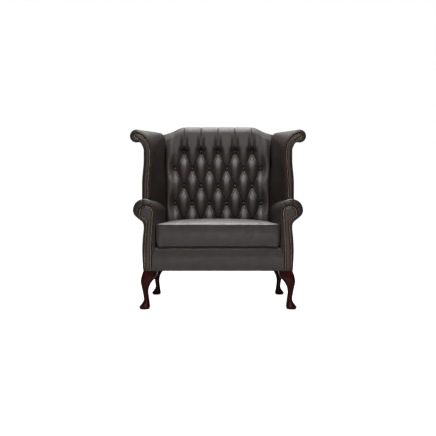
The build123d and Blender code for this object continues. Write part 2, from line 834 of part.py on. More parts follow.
save("inside_back", build_pad())

foam_bottom = deck_height + clear
foam_top = back_foam_top - clear
foam = side_profile([
    (foam_front(foam_bottom) + clear, foam_bottom), (foam_front(back_foam_top) + clear, foam_top),
    (outside_y(back_foam_top) - inner_offset - clear, foam_top),
    (outside_y(foam_bottom) - inner_offset - clear, foam_bottom)], seat_half - leather)
save("back_padding", foam)

straps = []
strap_reach = arm_roll_x - arm_rail_width / 2 - leather
strap_low = deck_height + 2 * webbing_width
strap_step = (back_foam_top - back_rail_height - strap_low) / (back_strap_count - 1)
strap_near = post_offset + clear / 2
for index in range(back_strap_count):
    z = strap_low + index * strap_step
    outline = straight_outline(-strap_reach, strap_reach, z - webbing_width / 2, z + webbing_width / 2)
    straps.append(back_layer(outline, strap_near, post_offset + webbing_thickness))
save("back_webbing", *straps)

panel = back_layer(back_outline(crest_back_radius, leg_height), 0, card)
for outline in (facet(*arm_points(0, leg_height)), facet(*wing_rear(0))):
    panel = panel + back_layer(outline, 0, card) + back_layer(left_of(outline), 0, card)
save("outside_back_cover", panel)

# Buttons

def button_ring(radius, height):
    angles = [2 * pi * side / button_sides for side in range(button_sides)]
    return [Vector(radius * cos(angle), radius * sin(angle), height) for angle in angles]


def build_buttons():
    radius = button_diameter / 2
    button = skin([button_ring(radius, 0), button_ring(radius, button_height / 2),
                   button_ring(radius / 2, button_height)])
    buttons = []
    for row in range(button_rows):
        z = top_button_height - row * button_row_pitch
        count = button_columns if row % 2 == 0 else button_columns + 1
        for index in range(count):
            x = (index - (count - 1) / 2) * button_pitch
            y = crown_y(z) + tuft_depth - clear
            place = Plane(origin=(x, y, z), x_dir=(1, 0, 0), z_dir=(0, -1, crown_rake))
            buttons.append(place * button)
    return buttons


save("back_buttons", *build_buttons())

# Seat

border_half = body_half - facing_stem_margin - facing_stem_width - clear
border = block(-border_half, border_half, at(0), at(arm_board_front - clear), leg_height, deck_height)
border = fillet(border.edges().filter_by(Axis.X).group_by(Axis.Y)[0], border_roll)
save("front_border", border)

seat_straps = []
seat_strap_pitch = 2 * webbing_width
seat_strap_count = floor(2 * seat_half / seat_strap_pitch)
for index in range(seat_strap_count):
    x = (index - (seat_strap_count - 1) / 2) * seat_strap_pitch
    strap = block(x - webbing_width / 2, x + webbing_width / 2, at(arm_board_front), at(crest_depth),
                  rail_top + clear / 2, rail_top + webbing_thickness)
    seat_straps.append(strap - behind(frame_offset))
cross_low = rail_top + webbing_thickness + 3 * clear / 2
cross_high = rail_top + 2 * webbing_thickness + clear
for index in range(cross_strap_count):
    y = at(2 * webbing_width + index * (wing_bend_depth - 3 * webbing_width) / cross_strap_count)
    strap = block(-side_rail_outer, side_rail_outer, y, y + webbing_width, cross_low, cross_high)
    seat_straps.append(strap)
save("seat_webbing", *seat_straps)

deck_low = rail_top + 2 * webbing_thickness + 2 * clear
deck = block(-seat_half + clear, seat_half - clear, at(arm_board_front), at(crest_depth),
             deck_low, deck_height)
deck = deck - behind(frame_offset)
save("seat_platform", deck)

notch = arm_board_back + block_size + leather
rear_notch_depth = back_foot_depth - post_offset - block_size - leather
dust = block(-body_half + leather + clear, body_half - leather - clear, at(arm_board_front), at(crest_depth),
             leg_height, rail_bottom) - behind(frame_offset)
for sign in (-1, 1):
    for depth_0, depth_1 in ((-overrun, notch), (rear_notch_depth, crest_depth)):
        x0 = sign * (body_half - notch)
        x1 = sign * overall_width
        dust = dust - block(min(x0, x1), max(x0, x1), at(depth_0), at(depth_1), 0, arm_height)
save("dust_cover", dust)


def cushion_section(depth, inset, crown):
    """The cushion seen from the front: flat below, bowed at the sides and crowned on top."""
    share = (depth - cushion_front_depth) / (cushion_rear_depth - cushion_front_depth)
    half = seat_half - cushion_gap - cushion_side_bulge - cushion_taper * share - inset
    low = deck_height + clear + inset
    edge = cushion_edge_height - inset / 2
    top = edge + crown
    middle = (low + edge) / 2
    bow = half + cushion_side_bulge
    return Pos(0, at(depth), 0) * make_face([
        Line(xz(-half, low), xz(half, low)),
        ThreePointArc(xz(half, low), xz(bow, middle), xz(half, edge)),
        ThreePointArc(xz(half, edge), xz(0, top), xz(-half, edge)),
        ThreePointArc(xz(-half, edge), xz(-bow, middle), xz(-half, low)),
    ])


def cushion_loft(wall):
    """The whole cushion, drawn in by the thickness of a wall."""
    length = cushion_rear_depth - cushion_front_depth - 2 * wall
    front = []
    rear = []
    for depth_share, draw_share in cushion_end_shares:
        depth = depth_share * cushion_corner + wall
        inset = draw_share * cushion_corner + wall
        crown = cushion_end_crown_share * cushion_crown
        front.append(cushion_section(cushion_front_depth + depth, inset, crown))
        rear.insert(0, cushion_section(cushion_rear_depth - depth, inset, crown))
    middle = []
    for share, crown_share in zip(cushion_depth_shares, cushion_crown_shares):
        depth = cushion_front_depth + wall + share * length
        middle.append(cushion_section(depth, wall, crown_share * cushion_crown))
    return loft(front + middle + rear, ruled=True)


cushion_outer = cushion_loft(0)
cushion_inner = cushion_loft(leather)
zip_low = zip_height - zip_width / 2
zip_top = zip_height + zip_width / 2
zip_slot = block(-zip_half - clear, zip_half + clear, at(cushion_rear_depth - 2 * leather),
                 at(cushion_rear_depth) + overrun, zip_low - clear, zip_top + clear)
save("seat_cushion_cover", cushion_outer - cushion_inner - zip_slot)
save("seat_cushion_filling", cushion_loft(leather + clear))
zip_tape = block(-zip_half, zip_half, at(cushion_rear_depth - leather + clear),
                 at(cushion_rear_depth - clear), zip_low, zip_top)
save("cushion_zip_tape", zip_tape)
slider_rise = slider_length / 3
slider = block(-zip_half, -zip_half + slider_length, at(cushion_rear_depth),
               at(cushion_rear_depth + slider_thickness), zip_height - slider_rise, zip_height + slider_rise)
pull_left = -zip_half + (slider_length - pull_width) / 2
pull_front = at(cushion_rear_depth + slider_thickness / 4)
pull = block(pull_left, pull_left + pull_width, pull_front, pull_front + slider_thickness / 2,
             zip_height - pull_length, zip_height)
save("cushion_zip_slider", slider + pull)
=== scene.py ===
"""Cuddle chair: the dressed visual model around the fixed frame.

Metres, in the frame of the CAD part: X across the seat, Y back, Z up. A depth runs back from the plane of the
arm facings. Right-hand pieces are made first and mirrored. Outlines of the front view are arrays of X and Z.
"""

from math import atan2, cos, degrees, exp, pi, radians, sin, sqrt, tanh

import bmesh
import bpy
import numpy as np
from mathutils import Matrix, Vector
from mathutils.bvhtree import BVHTree


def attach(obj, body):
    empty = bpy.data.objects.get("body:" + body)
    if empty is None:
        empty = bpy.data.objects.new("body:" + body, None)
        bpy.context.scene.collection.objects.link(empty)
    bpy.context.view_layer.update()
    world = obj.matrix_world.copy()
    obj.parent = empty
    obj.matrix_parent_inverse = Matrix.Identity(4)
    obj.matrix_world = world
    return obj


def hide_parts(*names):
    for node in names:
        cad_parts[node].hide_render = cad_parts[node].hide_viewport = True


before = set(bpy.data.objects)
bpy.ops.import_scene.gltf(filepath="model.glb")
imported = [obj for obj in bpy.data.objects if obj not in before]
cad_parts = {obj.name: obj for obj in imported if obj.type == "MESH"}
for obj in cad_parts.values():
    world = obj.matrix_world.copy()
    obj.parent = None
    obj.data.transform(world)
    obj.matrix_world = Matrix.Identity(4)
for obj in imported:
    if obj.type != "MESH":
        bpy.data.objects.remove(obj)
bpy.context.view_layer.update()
scene = bpy.context.scene
rng = np.random.default_rng(7)

# Sizes of the part
FACE_Y = -0.409
SEAT, BODY, LEG, DECK = 0.339, 0.407, 0.208, 0.337
ARM_R, ARM_X, ARM_Z = 0.062, 0.401, 0.538
ARM_UNDER, ARM_RIM = 30.0, 0.010
NECK_X, NECK_Z, BELLY_X = 0.399, 0.469, 0.412
RING_R, RING_X, RING_Z = 0.041, 0.391, 0.523
RING_UNDER = 20.0
STEM_OUT, STEM_IN, STEM_NECK = 0.402, 0.360, (0.391, 0.476)
STEM_KNEE = (NECK_Z + LEG) / 2
WING_DEPTH, WING_BEND, WING_RIM = 0.300, 0.640, 0.007
SCROLL = (0.4855, 0.9845)
REAR_ROLL = (0.384, 1.030)
FLARE = 69.0
SPLAY, SPLAY_LOW, SPLAY_HIGH = 0.010, 0.699, 0.849
CREST_HALF, SHOULDER_HALF, SHOULDER_Z, TOP_Z = 0.2334, 0.354, 1.054, 1.110
PITCH, ROW, TOP_ROW = 0.1132, 0.1145, 0.938
STUD_R, STUD_H, STUD_GAP, STUD_IN = 0.0040, 0.0034, 0.011, 0.0056
ZIP_HALF, ZIP_Z = 0.242, 0.402
BORDER_HALF = 0.3587
HIDE_THICK, BORDER_THICK, PLATE_THICK = 0.0025, 0.002, 0.008
BURIED, REAR_LAP, FACE_LAP = 0.03, 0.0035, 0.0005


def at(depth):
    """World Y of a depth."""
    return FACE_Y + depth


def outside_depth(z):
    """Depth of the outside back at a height."""
    return 0.640 + (z - LEG) * 0.22309


def crown_depth(z):
    """Depth of the inside back's crowns at a height."""
    return 0.5957 + (z - DECK) * 0.16224


# Curves

def smooth_step(value):
    value = np.clip(value, 0, 1)
    return value * value * (3 - 2 * value)


def bell(gap, width, power=2):
    """1 in the middle, fading to nothing beyond a width."""
    return np.exp(-(gap / width) ** power)


def arc(centre, radius, start, end, count):
    angle = np.radians(np.linspace(start, end, count))
    return np.stack([centre[0] + radius * np.cos(angle), centre[1] + radius * np.sin(angle)], 1)


def quarter(steps):
    """Angles of a quarter turn in even steps, its start left out."""
    return np.linspace(0, pi / 2, steps + 1)[1:]


def chain(*parts):
    """One line from several that meet end to end."""
    return np.concatenate([parts[0]] + [part[1:] for part in parts[1:]])


def soften(points, times, closed=False):
    """Average neighbours, the ends of an open line held."""
    points = points.copy()
    for _ in range(times):
        if closed:
            points = (np.roll(points, 1, 0) + 2 * points + np.roll(points, -1, 0)) / 4
        else:
            points[1:-1] = (points[:-2] + 2 * points[1:-1] + points[2:]) / 4
    return points


def along(points, pitch, closed=False):
    """Even places along a line of points, with the spacing nearest to a pitch."""
    line = np.concatenate([points, points[:1]]) if closed else points
    steps = np.linalg.norm(np.diff(line, axis=0), axis=1)
    length = np.concatenate([[0], np.cumsum(steps)])
    count = int(length[-1] // pitch)
    wanted = np.linspace(0, length[-1], count + 1)[:count if closed else count + 1]
    return np.stack([np.interp(wanted, length, line[:, k]) for k in range(line.shape[1])], 1)


# Meshes

def linked(name, data):
    """A new object of the scene."""
    obj = bpy.data.objects.new(name, data)
    scene.collection.objects.link(obj)
    return obj


def new_object(name, verts, faces, material, body="chair"):
    """A smooth piece that rides on a body."""
    mesh = bpy.data.meshes.new(name)
    mesh.from_pydata([tuple(v) for v in verts], [], [tuple(f) for f in faces])
    mesh.validate()
    mesh.update()
    mesh.shade_smooth()
    mesh.materials.append(material)
    obj = linked(name, mesh)
    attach(obj, body)
    return obj


def paint_shade(obj, values):
    """Store the painted shade of each vertex, from 0 to 1, such as deep in a fold: the materials turn dark
    and dull there.
    """
    layer = obj.data.attributes.new("painted_shade", "FLOAT", "POINT")
    layer.data.foreach_set("value", np.clip(values, 0, 1).reshape(-1).astype(np.float32))


def grid_faces(rows, columns, closed=False):
    faces = []
    for i in range(rows - 1):
        for j in range(columns if closed else columns - 1):
            k = (j + 1) % columns
            faces.append((i * columns + j, i * columns + k, (i + 1) * columns + k, (i + 1) * columns + j))
    return faces


def turned(faces):
    return [tuple(reversed(face)) for face in faces]


def mirrored(points):
    return points * np.array([-1.0, 1.0, 1.0])


def placed(points, depth):
    """An outline of the front view, set at one depth or at a depth for each point."""
    return np.stack([points[:, 0], at(depth) * np.ones(len(points)), points[:, 1]], 1)


def pair(name, verts, faces, material, nodes):
    """The same piece on the right and on the left, each in place of that side's nodes."""
    pieces = []
    for side, co, these in (("_right", verts, faces), ("_left", mirrored(verts), turned(faces))):
        obj = new_object(name + side, co, these, material)
        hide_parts(*[node + side for node in nodes])
        pieces.append(obj)
    return pieces


def thicken(obj, thick):
    """Give a sheet a leather's thickness on its hidden side."""
    mod = obj.modifiers.new("thickness", "SOLIDIFY")
    mod.thickness = thick
    mod.offset = -1


def sheet_pair(name, points, *nodes):
    """A side's cover on the right and on the left, through a grid of points."""
    # The darker copy of the hide: painted shade on the sides.
    pieces = pair(name, points.reshape(-1, 3), grid_faces(*points.shape[:2]), hide_side, nodes)
    for obj in pieces:
        thicken(obj, HIDE_THICK)
    return pieces


def tube(path, radius, sides):
    """A closed round cord through points, as vertices and faces."""
    tangent = np.roll(path, -1, 0) - np.roll(path, 1, 0)
    tangent /= np.linalg.norm(tangent, axis=1)[:, None]
    normal = np.cross(tangent[0], [0.3, 0.5, 0.81])
    angle = np.linspace(0, 2 * pi, sides, endpoint=False)
    rings = []
    for point, way in zip(path, tangent):
        normal = normal - way * normal.dot(way)
        normal /= np.linalg.norm(normal)
        side = np.cross(way, normal)
        rings.append(point + radius * (np.cos(angle)[:, None] * normal + np.sin(angle)[:, None] * side))
    rings.append(rings[0])
    faces = [tuple(i % (len(path) * sides) for i in face) for face in grid_faces(len(rings), sides, True)]
    return np.array(rings[:-1]).reshape(-1, 3), faces


def dome(rings, tip, sides, place, lean):
    """A domed disc that faces forwards: rings of radius and height from the rim inwards, then its tip."""
    angle = np.linspace(0, 2 * pi, sides, endpoint=False)
    verts = []
    for radius, height in rings:
        u, w = radius * np.cos(angle), radius * np.sin(angle)
        verts.append(place + np.stack([u, lean[0] * u + lean[1] * w - height, w], 1))
    verts.append(place + np.array([[0, -tip, 0]]))
    faces = grid_faces(len(rings), sides, True)
    last = (len(rings) - 1) * sides
    faces.extend((last + j, last + (j + 1) % sides, last + sides) for j in range(sides))
    faces.append(tuple(reversed(range(sides))))
    return np.concatenate(verts), faces


def merged(parts):
    verts, faces, base = [], [], 0
    for part_verts, part_faces in parts:
        verts.append(part_verts)
        faces.extend(tuple(i + base for i in face) for face in part_faces)
        base += len(part_verts)
    return np.concatenate(verts), faces


def coordinates(mesh):
    co = np.empty(len(mesh.vertices) * 3)
    mesh.vertices.foreach_get("co", co)
    return co.reshape(-1, 3)


def set_coordinates(mesh, co):
    mesh.vertices.foreach_set("co", co.reshape(-1))
    mesh.update()


def evaluated(obj):
    """A new mesh of an object with its modifiers applied."""
    return bpy.data.meshes.new_from_object(obj.evaluated_get(bpy.context.evaluated_depsgraph_get()))


def remeshed(obj, voxel):
    """A new mesh of an object, made of even voxels."""
    mod = obj.modifiers.new("remesh", "REMESH")
    mod.mode = "VOXEL"
    mod.voxel_size = voxel
    bpy.context.view_layer.update()
    mesh = evaluated(obj)
    obj.modifiers.clear()
    return mesh


# Material nodes

def node_material(name):
    """A new material: itself, its tree, its shader and the place on the piece."""
    mat = bpy.data.materials.new(name)
    mat.use_nodes = True
    tree = mat.node_tree
    return mat, tree, tree.nodes["Principled BSDF"], add(tree, "TexCoord").outputs["Object"]


def feed(tree, node, inputs):
    """Give inputs of a node plain values, or links from other nodes' outputs."""
    for key, value in inputs.items():
        if isinstance(value, bpy.types.NodeSocket):
            tree.links.new(value, node.inputs[key])
        else:
            node.inputs[key].default_value = value


def add(tree, kind, inputs=None, **settings):
    node = tree.nodes.new("ShaderNode" + kind)
    for key, value in settings.items():
        setattr(node, key, value)
    feed(tree, node, inputs or {})
    return node


def noise(tree, where, scale, detail, roughness=0.5, distortion=0.0):
    inputs = {"Vector": where, "Scale": scale, "Detail": detail}
    return add(tree, "TexNoise", inputs | {"Roughness": roughness, "Distortion": distortion}).outputs["Fac"]


def calculate(tree, operation, *values, clamp=False):
    node = add(tree, "Math", dict(enumerate(values)), operation=operation, use_clamp=clamp)
    return node.outputs[0]


def spread(tree, value, low, high, start=0.0, end=1.0):
    """A value moved from one range, 0 to 1 if none is given, to another."""
    inputs = {"Value": value, "From Min": start, "From Max": end, "To Min": low, "To Max": high}
    return add(tree, "MapRange", inputs).outputs[0]


def ramp(tree, value, low, high):
    """A colour between two stops of a ramp, each a place and a colour."""
    node = add(tree, "ValToRGB", {0: value})
    for element, (place, colour) in zip(node.color_ramp.elements, (low, high)):
        element.position = place
        element.color = (*colour, 1)
    return node.outputs["Color"]


def tinted(tree, factor, tone, colour):
    """A tone mixed towards a plain colour."""
    return add(tree, "Mix", {0: factor, 6: tone, 7: (*colour, 1)}, data_type="RGBA").outputs[2]


def grey(value):
    return (value, value, value)


def shade(colour, factor):
    return tuple(part * factor for part in colour)


def rubbed_edges(tree, low, high):
    """A grey that rises on outer edges."""
    edge = add(tree, "NewGeometry").outputs["Pointiness"]
    return ramp(tree, edge, low, high)


# The painted shade stored on the piece's vertices.
def painted_shade_value(tree):
    return add(tree, "Attribute", attribute_name="painted_shade").outputs["Fac"]


def relief(tree, height, strength, distance):
    inputs = {"Height": height, "Strength": strength, "Distance": distance}
    return add(tree, "Bump", inputs).outputs[0]


# Materials

def leather(name, base, worn, rough=0.48, grain=1.0, mottled=1.0, sheen=0.0, shiny=0.5):
    """Corrected-grain leather: pebble, pores, rubbed ridges, and painted shade that darkens it in the folds.
    """
    mat, tree, shader, where = node_material(name)
    cloud = noise(tree, where, 9.0, 4.0, 0.6)
    tone = ramp(tree, cloud, (0.3, shade(base, 0.82)), (0.7, shade(base, 1.2)))
    rub = rubbed_edges(tree, (0.5, grey(0)), (0.56, grey(1)))
    tone = tinted(tree, calculate(tree, "MULTIPLY", rub, noise(tree, where, 55.0, 5.0, 0.7)), tone, worn)
    painted_shade = painted_shade_value(tree)
    # Painted shade: the tone turns near black where the stored painted shade is high.
    tone = tinted(tree, painted_shade, tone, shade(base, 0.22))
    shine = spread(tree, noise(tree, where, 28.0, 6.0, 0.62), rough - 0.06, rough + 0.09, 0.3, 0.7)
    dull = calculate(tree, "MULTIPLY_ADD", painted_shade, 0.45, shine, clamp=True)
    pebble = add(tree, "TexVoronoi", {"Vector": where, "Scale": 420.0, "Randomness": 1.0},
                 feature="SMOOTH_F1").outputs["Distance"]
    pores = noise(tree, where, 1500.0, 2.0)
    mottle = noise(tree, where, 165.0, 3.0, 0.55)
    wrinkle = noise(tree, where, 24.0, 3.0, distortion=0.6)
    height = calculate(tree, "MULTIPLY", pebble, 0.00022 * grain)
    for source, weight in ((pores, 0.00005 * grain), (mottle, 0.0006 * mottled), (wrinkle, 0.0011 * mottled)):
        height = calculate(tree, "ADD", height, calculate(tree, "MULTIPLY", source, weight))
    feed(tree, shader, {"Base Color": tone, "Roughness": dull, "Normal": relief(tree, height, 1.0, 1.0),
                        "Specular IOR Level": shiny, "Coat Weight": 0.04, "Coat Roughness": 0.35,
                        "Sheen Weight": sheen, "Sheen Roughness": 0.45})
    return mat


def brass(name):
    """Aged brass, bright on the domes and painted dark as shade where the stored painted shade says."""
    mat, tree, shader, where = node_material(name)
    cloud = noise(tree, where, 260.0, 4.0)
    tone = ramp(tree, cloud, (0.3, (0.52, 0.34, 0.21)), (0.7, (0.92, 0.64, 0.42)))
    tone = tinted(tree, painted_shade_value(tree), tone, (0.016, 0.010, 0.007))
    feed(tree, shader, {"Base Color": tone, "Metallic": 1.0, "Roughness": spread(tree, cloud, 0.24, 0.46)})
    return mat


def wood(name, dark, light, rough):
    """Stained wood with long grain running up the leg."""
    mat, tree, shader, where = node_material(name)
    place = add(tree, "Mapping", {"Vector": where, "Scale": (1.0, 1.0, 0.09)}).outputs[0]
    grain = noise(tree, place, 130.0, 6.0, 0.6, 0.4)
    figure = noise(tree, place, 22.0, 3.0, distortion=1.2)
    tone = ramp(tree, calculate(tree, "MULTIPLY", grain, figure), (0.12, dark), (0.4, light))
    rub = rubbed_edges(tree, (0.52, grey(0)), (0.6, grey(0.5)))
    tone = tinted(tree, rub, tone, tuple(min(1.0, part) for part in shade(light, 1.9)))
    feed(tree, shader, {"Base Color": tone, "Roughness": spread(tree, figure, rough - 0.05, rough + 0.08),
                        "Specular IOR Level": 0.09, "Normal": relief(tree, grain, 0.25, 0.0004)})
    return mat


def cloth(name, dark, light, scale):
    """A plain weave: two crossed waves under a mottled colour."""
    mat, tree, shader, where = node_material(name)
    bands = [add(tree, "TexWave", {"Vector": where, "Scale": scale, "Distortion": 0.3},
                 wave_type="BANDS", bands_direction=direction).outputs["Fac"] for direction in ("X", "Y")]
    weave = calculate(tree, "MULTIPLY", *bands)
    both = calculate(tree, "MULTIPLY", weave, noise(tree, where, 14.0, 5.0))
    feed(tree, shader, {"Base Color": ramp(tree, both, (0.05, dark), (0.6, light)), "Roughness": 0.9,
                        "Normal": relief(tree, weave, 0.6, 0.0004)})
    return mat


def plain(name, dark, light, scale, rough, metallic=0.0, bump=0.0002):
    """Mottled colour with a fine surface, for metal, plastic and foam."""
    mat, tree, shader, where = node_material(name)
    cloud = noise(tree, where, scale, 6.0, 0.65)
    shine = spread(tree, cloud, max(0.05, rough - 0.1), min(1.0, rough + 0.1))
    feed(tree, shader, {"Base Color": ramp(tree, cloud, (0.3, dark), (0.7, light)), "Metallic": metallic,
                        "Roughness": shine, "Normal": relief(tree, cloud, 0.5, bump)})
    return mat


BASE = (0.0175, 0.0112, 0.0088)
WORN = (0.048, 0.037, 0.031)
hide = leather("hide", BASE, WORN)
hide_back = leather("hide_back", BASE, WORN, rough=0.53, mottled=0.7)
# A darker copy of the hide for the arms and wings: painted shade on the sides.
hide_side = leather("hide_side", shade(BASE, 0.88), shade(WORN, 0.8), shiny=0.36)
hide_cushion = leather("hide_cushion", shade(BASE, 1.08), WORN, rough=0.46, mottled=1.3, sheen=0.12)
# A darker copy of the hide for the buttons: painted shade of their pits.
hide_button = leather("hide_button", shade(BASE, 0.5), BASE, rough=0.62, grain=0.7, mottled=0.3)
nail_brass = brass("nail_brass")
leg_wood = wood("leg_wood", (0.0060, 0.0008, 0.0006), (0.040, 0.0046, 0.0022), 0.38)
timber = wood("timber", (0.33, 0.20, 0.10), (0.62, 0.44, 0.26), 0.7)
dust_cloth = cloth("dust_cloth", (0.010, 0.010, 0.010), (0.035, 0.034, 0.033), 260.0)
platform_cloth = cloth("platform_cloth", (0.012, 0.009, 0.008), (0.05, 0.04, 0.035), 300.0)
strap = cloth("webbing", (0.03, 0.02, 0.015), (0.32, 0.24, 0.16), 200.0)
foam = plain("foam", (0.62, 0.55, 0.38), (0.78, 0.72, 0.55), 380.0, 0.95, bump=0.0012)
zip_cloth = cloth("zip_cloth", (0.008, 0.007, 0.006), (0.03, 0.026, 0.022), 420.0)
zip_metal = plain("zip_metal", (0.20, 0.17, 0.13), (0.45, 0.40, 0.33), 500.0, 0.35, 1.0, 0.0001)
nylon = plain("glide_nylon", (0.16, 0.11, 0.08), (0.24, 0.18, 0.13), 300.0, 0.5)
steel = plain("bolt_steel", (0.32, 0.32, 0.33), (0.55, 0.55, 0.56), 350.0, 0.35, 1.0, 0.0001)


def dress_nodes():
    """Give each CAD node its own procedural material, by the first of these words in its name."""
    looks = (("dust_cover", dust_cloth), ("seat_platform", platform_cloth), ("webbing", strap),
             ("padding", foam), ("filling", foam), ("zip_tape", zip_cloth), ("zip_slider", zip_metal),
             ("glides", nylon), ("bolts", steel), ("leg", leg_wood), ("rail", timber), ("post", timber),
             ("block", timber), ("board", timber), ("studs", nail_brass))
    for name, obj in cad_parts.items():
        obj.data.materials.clear()
        obj.data.materials.append(next((look for word, look in looks if word in name), hide))


# Inside back: deep diamond buttoning
ROWS = [TOP_ROW - k * ROW for k in range(5)]
PAD_LOW = 0.600
BACK_COLUMNS, FRONT_ROWS, ROLL_ROWS, CREST_ROWS, EDGE_ROWS = 316, 284, 14, 9, 6
CREST_ROLL, BACK_EDGE, BACK_DROP = 0.045, 0.009, 0.010
SIDE_STRIP, SIDE_DRAWN, SIDE_TOP = 0.020, 0.012, 0.93
BORDER_START, BORDER_WIDTH, BORDER_SWELL = 0.285, 0.055, 0.005
BUTTON_DEPTH, BUTTON_LEAN = 0.0285, 0.1622
PILLOW_DEPTH = 0.0245
VALLEY_DEPTH, PIT_DEPTH, GROOVE_DEPTH, PUCKER_DEPTH = 0.0068, 0.0110, 0.0150, 0.0006
LINE_DEPTH, TUCK_DEPTH, LIP_HEIGHT = 0.0036, 0.0032, 0.0022
LINE_WIDTH, TUCK_WIDTH, LIP_WIDTH = 0.0030, 0.0024, 0.0022
TUCK_GAP, LIP_GAP, GROOVE_GAP = 0.0112, 0.0062, 0.0172


def button_places():
    """Place across, height and row of each button: five and six to a row."""
    places = []
    for k, z in enumerate(ROWS):
        count = 5 + k % 2
        places.extend(((i - (count - 1) / 2) * PITCH, z, k) for i in range(count))
    return places


def pleat_lines():
    """Pleats between neighbouring buttons, from the upper one to the lower."""
    lines = []
    for x, z, k in button_places():
        for lower in (x - PITCH / 2, x + PITCH / 2):
            if k < 4 and abs(lower) < 2.6 * PITCH:
                lines.append((x, z, lower, z - ROW))
    return lines


def swell_wave(x, z):
    """The buttoned surface's long wave: 1 at a button, -1 on a pillow's crown."""
    row = (ROWS[0] - z) / ROW
    outer = 2.5 * PITCH
    sharp, fade = 1.35, 0.046
    lobes = np.tanh(sharp * np.cos(2 * pi * x / PITCH)) / tanh(sharp)
    inside = lobes * np.cos(pi * row)
    level = np.where(row < 2, 1, 3)
    away = np.hypot(np.abs(x) - outer, (row - level) * PITCH / 2) / (PITCH / 2)
    wave = np.where(np.abs(x) > outer, np.cos(pi * np.clip(away, 0, 1)), inside)
    lobes = np.where(np.abs(x) < outer, lobes, -1)
    for run in (-row * ROW, (row - 4) * ROW):
        wave = np.where(run > 0, -1 + (1 + lobes) * (1 - smooth_step(run / fade)), wave)
    return wave


def pleats(x, z):
    """Valley less the raised lips, crease and shade along the pleat lines."""
    valley, crease, lips, shadow = (np.zeros_like(x) for _ in range(4))
    for x0, z0, x1, z1 in pleat_lines():
        dx, dz = x1 - x0, z1 - z0
        share = np.clip(((x - x0) * dx + (z - z0) * dz) / (dx * dx + dz * dz), 0, 1)
        off_z = z - (z0 + share * dz)
        gap = np.hypot(x - (x0 + share * dx), off_z)
        middle = np.sin(pi * share) ** 0.5
        below = middle * (1 - 0.65 * share) * (off_z < 0)
        line = bell(gap, LINE_WIDTH) * middle
        tuck = bell(gap - TUCK_GAP, TUCK_WIDTH) * below
        valley = np.maximum(valley, VALLEY_DEPTH * bell(gap, 0.0120, 1) * (0.4 + 0.6 * middle))
        crease = np.maximum(crease, LINE_DEPTH * line + TUCK_DEPTH * tuck)
        lips = lips + LIP_HEIGHT * bell(gap - LIP_GAP, LIP_WIDTH) * below
        # Painted shade along the pleat lines and their tucks.
        shadow = np.maximum(shadow, np.maximum(0.9 * line, 0.75 * tuck))
    return valley - lips, crease, shadow


def puckers(x, z, bx, bz):
    """Small gathers of the leather around a button."""
    depth = np.zeros_like(x)
    for turn in (0.5, 1.35, 2.2, 3.6, 4.5, 5.5):
        way = turn + 0.35 * sin(31 * bx + 17 * bz + turn)
        ahead = (x - bx) * cos(way) + (z - bz) * sin(way)
        aside = (x - bx) * sin(way) - (z - bz) * cos(way)
        depth = depth + PUCKER_DEPTH * bell(aside, 0.0030) * bell(ahead - 0.019, 0.0085)
    return depth


def tufting(x, z):
    """Depth of the leather behind its crown, and the painted shade at each point, in the pleat lines, the
    grooves and the pits.
    """
    valley, crease, painted_shade = pleats(x, z)
    depth = PILLOW_DEPTH * ((1 + swell_wave(x, z)) / 2) ** 1.1 + valley
    for bx, bz, k in button_places():
        if k in (0, 4):
            run = (z - bz) if k == 0 else (bz - z)
            across = np.abs(x - bx)
            fading = GROOVE_DEPTH * (1 - smooth_step(run / 0.116)) ** 0.8
            groove = np.where(run > 0, fading * bell(across - GROOVE_GAP, 0.0064), 0.0)
            depth = (depth ** 3 + groove ** 3) ** (1 / 3)
            thin = np.where(run > 0, bell(across, 0.0024), 0.0)
            crease = np.maximum(crease, 0.0030 * thin)
            # Painted shade in the grooves beside the top and bottom buttons.
            painted_shade = np.maximum(painted_shade, np.maximum(0.40 * groove / GROOVE_DEPTH, 0.85 * thin))
        gap = np.hypot(x - bx, (z - bz) * 0.92)
        depth = depth + PIT_DEPTH * bell(gap, 0.0135, 2.4) + puckers(x, z, bx, bz)
        # Painted shade in each button's pit.
        painted_shade = np.maximum(painted_shade, 0.96 * bell(gap, 0.0140, 3))
    return depth + crease, painted_shade


def pad_half(z):
    """Half the width of the inside back at a height."""
    share = np.clip((z - PAD_LOW) / (SHOULDER_Z - PAD_LOW), 0, 1)
    return SEAT + share * (SHOULDER_HALF - SEAT) - 0.0003


def pad_x(a, z):
    """Places across the pad, from -1 to 1; its top corners follow the wing's flare."""
    flare_z, flare_r = 1.0213, 0.0333
    out = np.clip(z - flare_z, 0, 0.0318)
    flare = flare_r - np.sqrt(flare_r ** 2 - out ** 2)
    return a * pad_half(z) + np.sign(a) * flare * smooth_step((np.abs(a) - 0.84) / 0.16)


def crest_top(x):
    """Height of the camel top over a place across the chair."""
    start = CREST_HALF - 0.004
    share = np.clip((np.abs(x) - start) / (SHOULDER_HALF - start), 0, 1)
    return TOP_Z - (TOP_Z - SHOULDER_Z) * (0.72 * share ** 1.12 + 0.28 * smooth_step(share))


def buttoned_row(a, z):
    """One row of the buttoned front, its sides drawn back and swollen beside the wings."""
    x = pad_x(a, z)
    depth, painted_shade = tufting(x, z)
    side = np.clip((np.abs(x) - pad_half(z) + SIDE_STRIP) / SIDE_STRIP, 0, 1)
    depth = depth + SIDE_DRAWN * side ** 2.6 * (1 - smooth_step((z - SIDE_TOP) / 0.08))
    border = np.clip((np.abs(x) - BORDER_START) / BORDER_WIDTH, 0, 1)
    wave = 1 + 0.35 * np.sin(z * pi / ROW + 0.6)
    depth = depth - BORDER_SWELL * wave * np.sin(pi * border) * np.clip((z - 0.36) / 0.05, 0, 1)
    return np.stack([x, at(crown_depth(z) + depth), z], 1), painted_shade


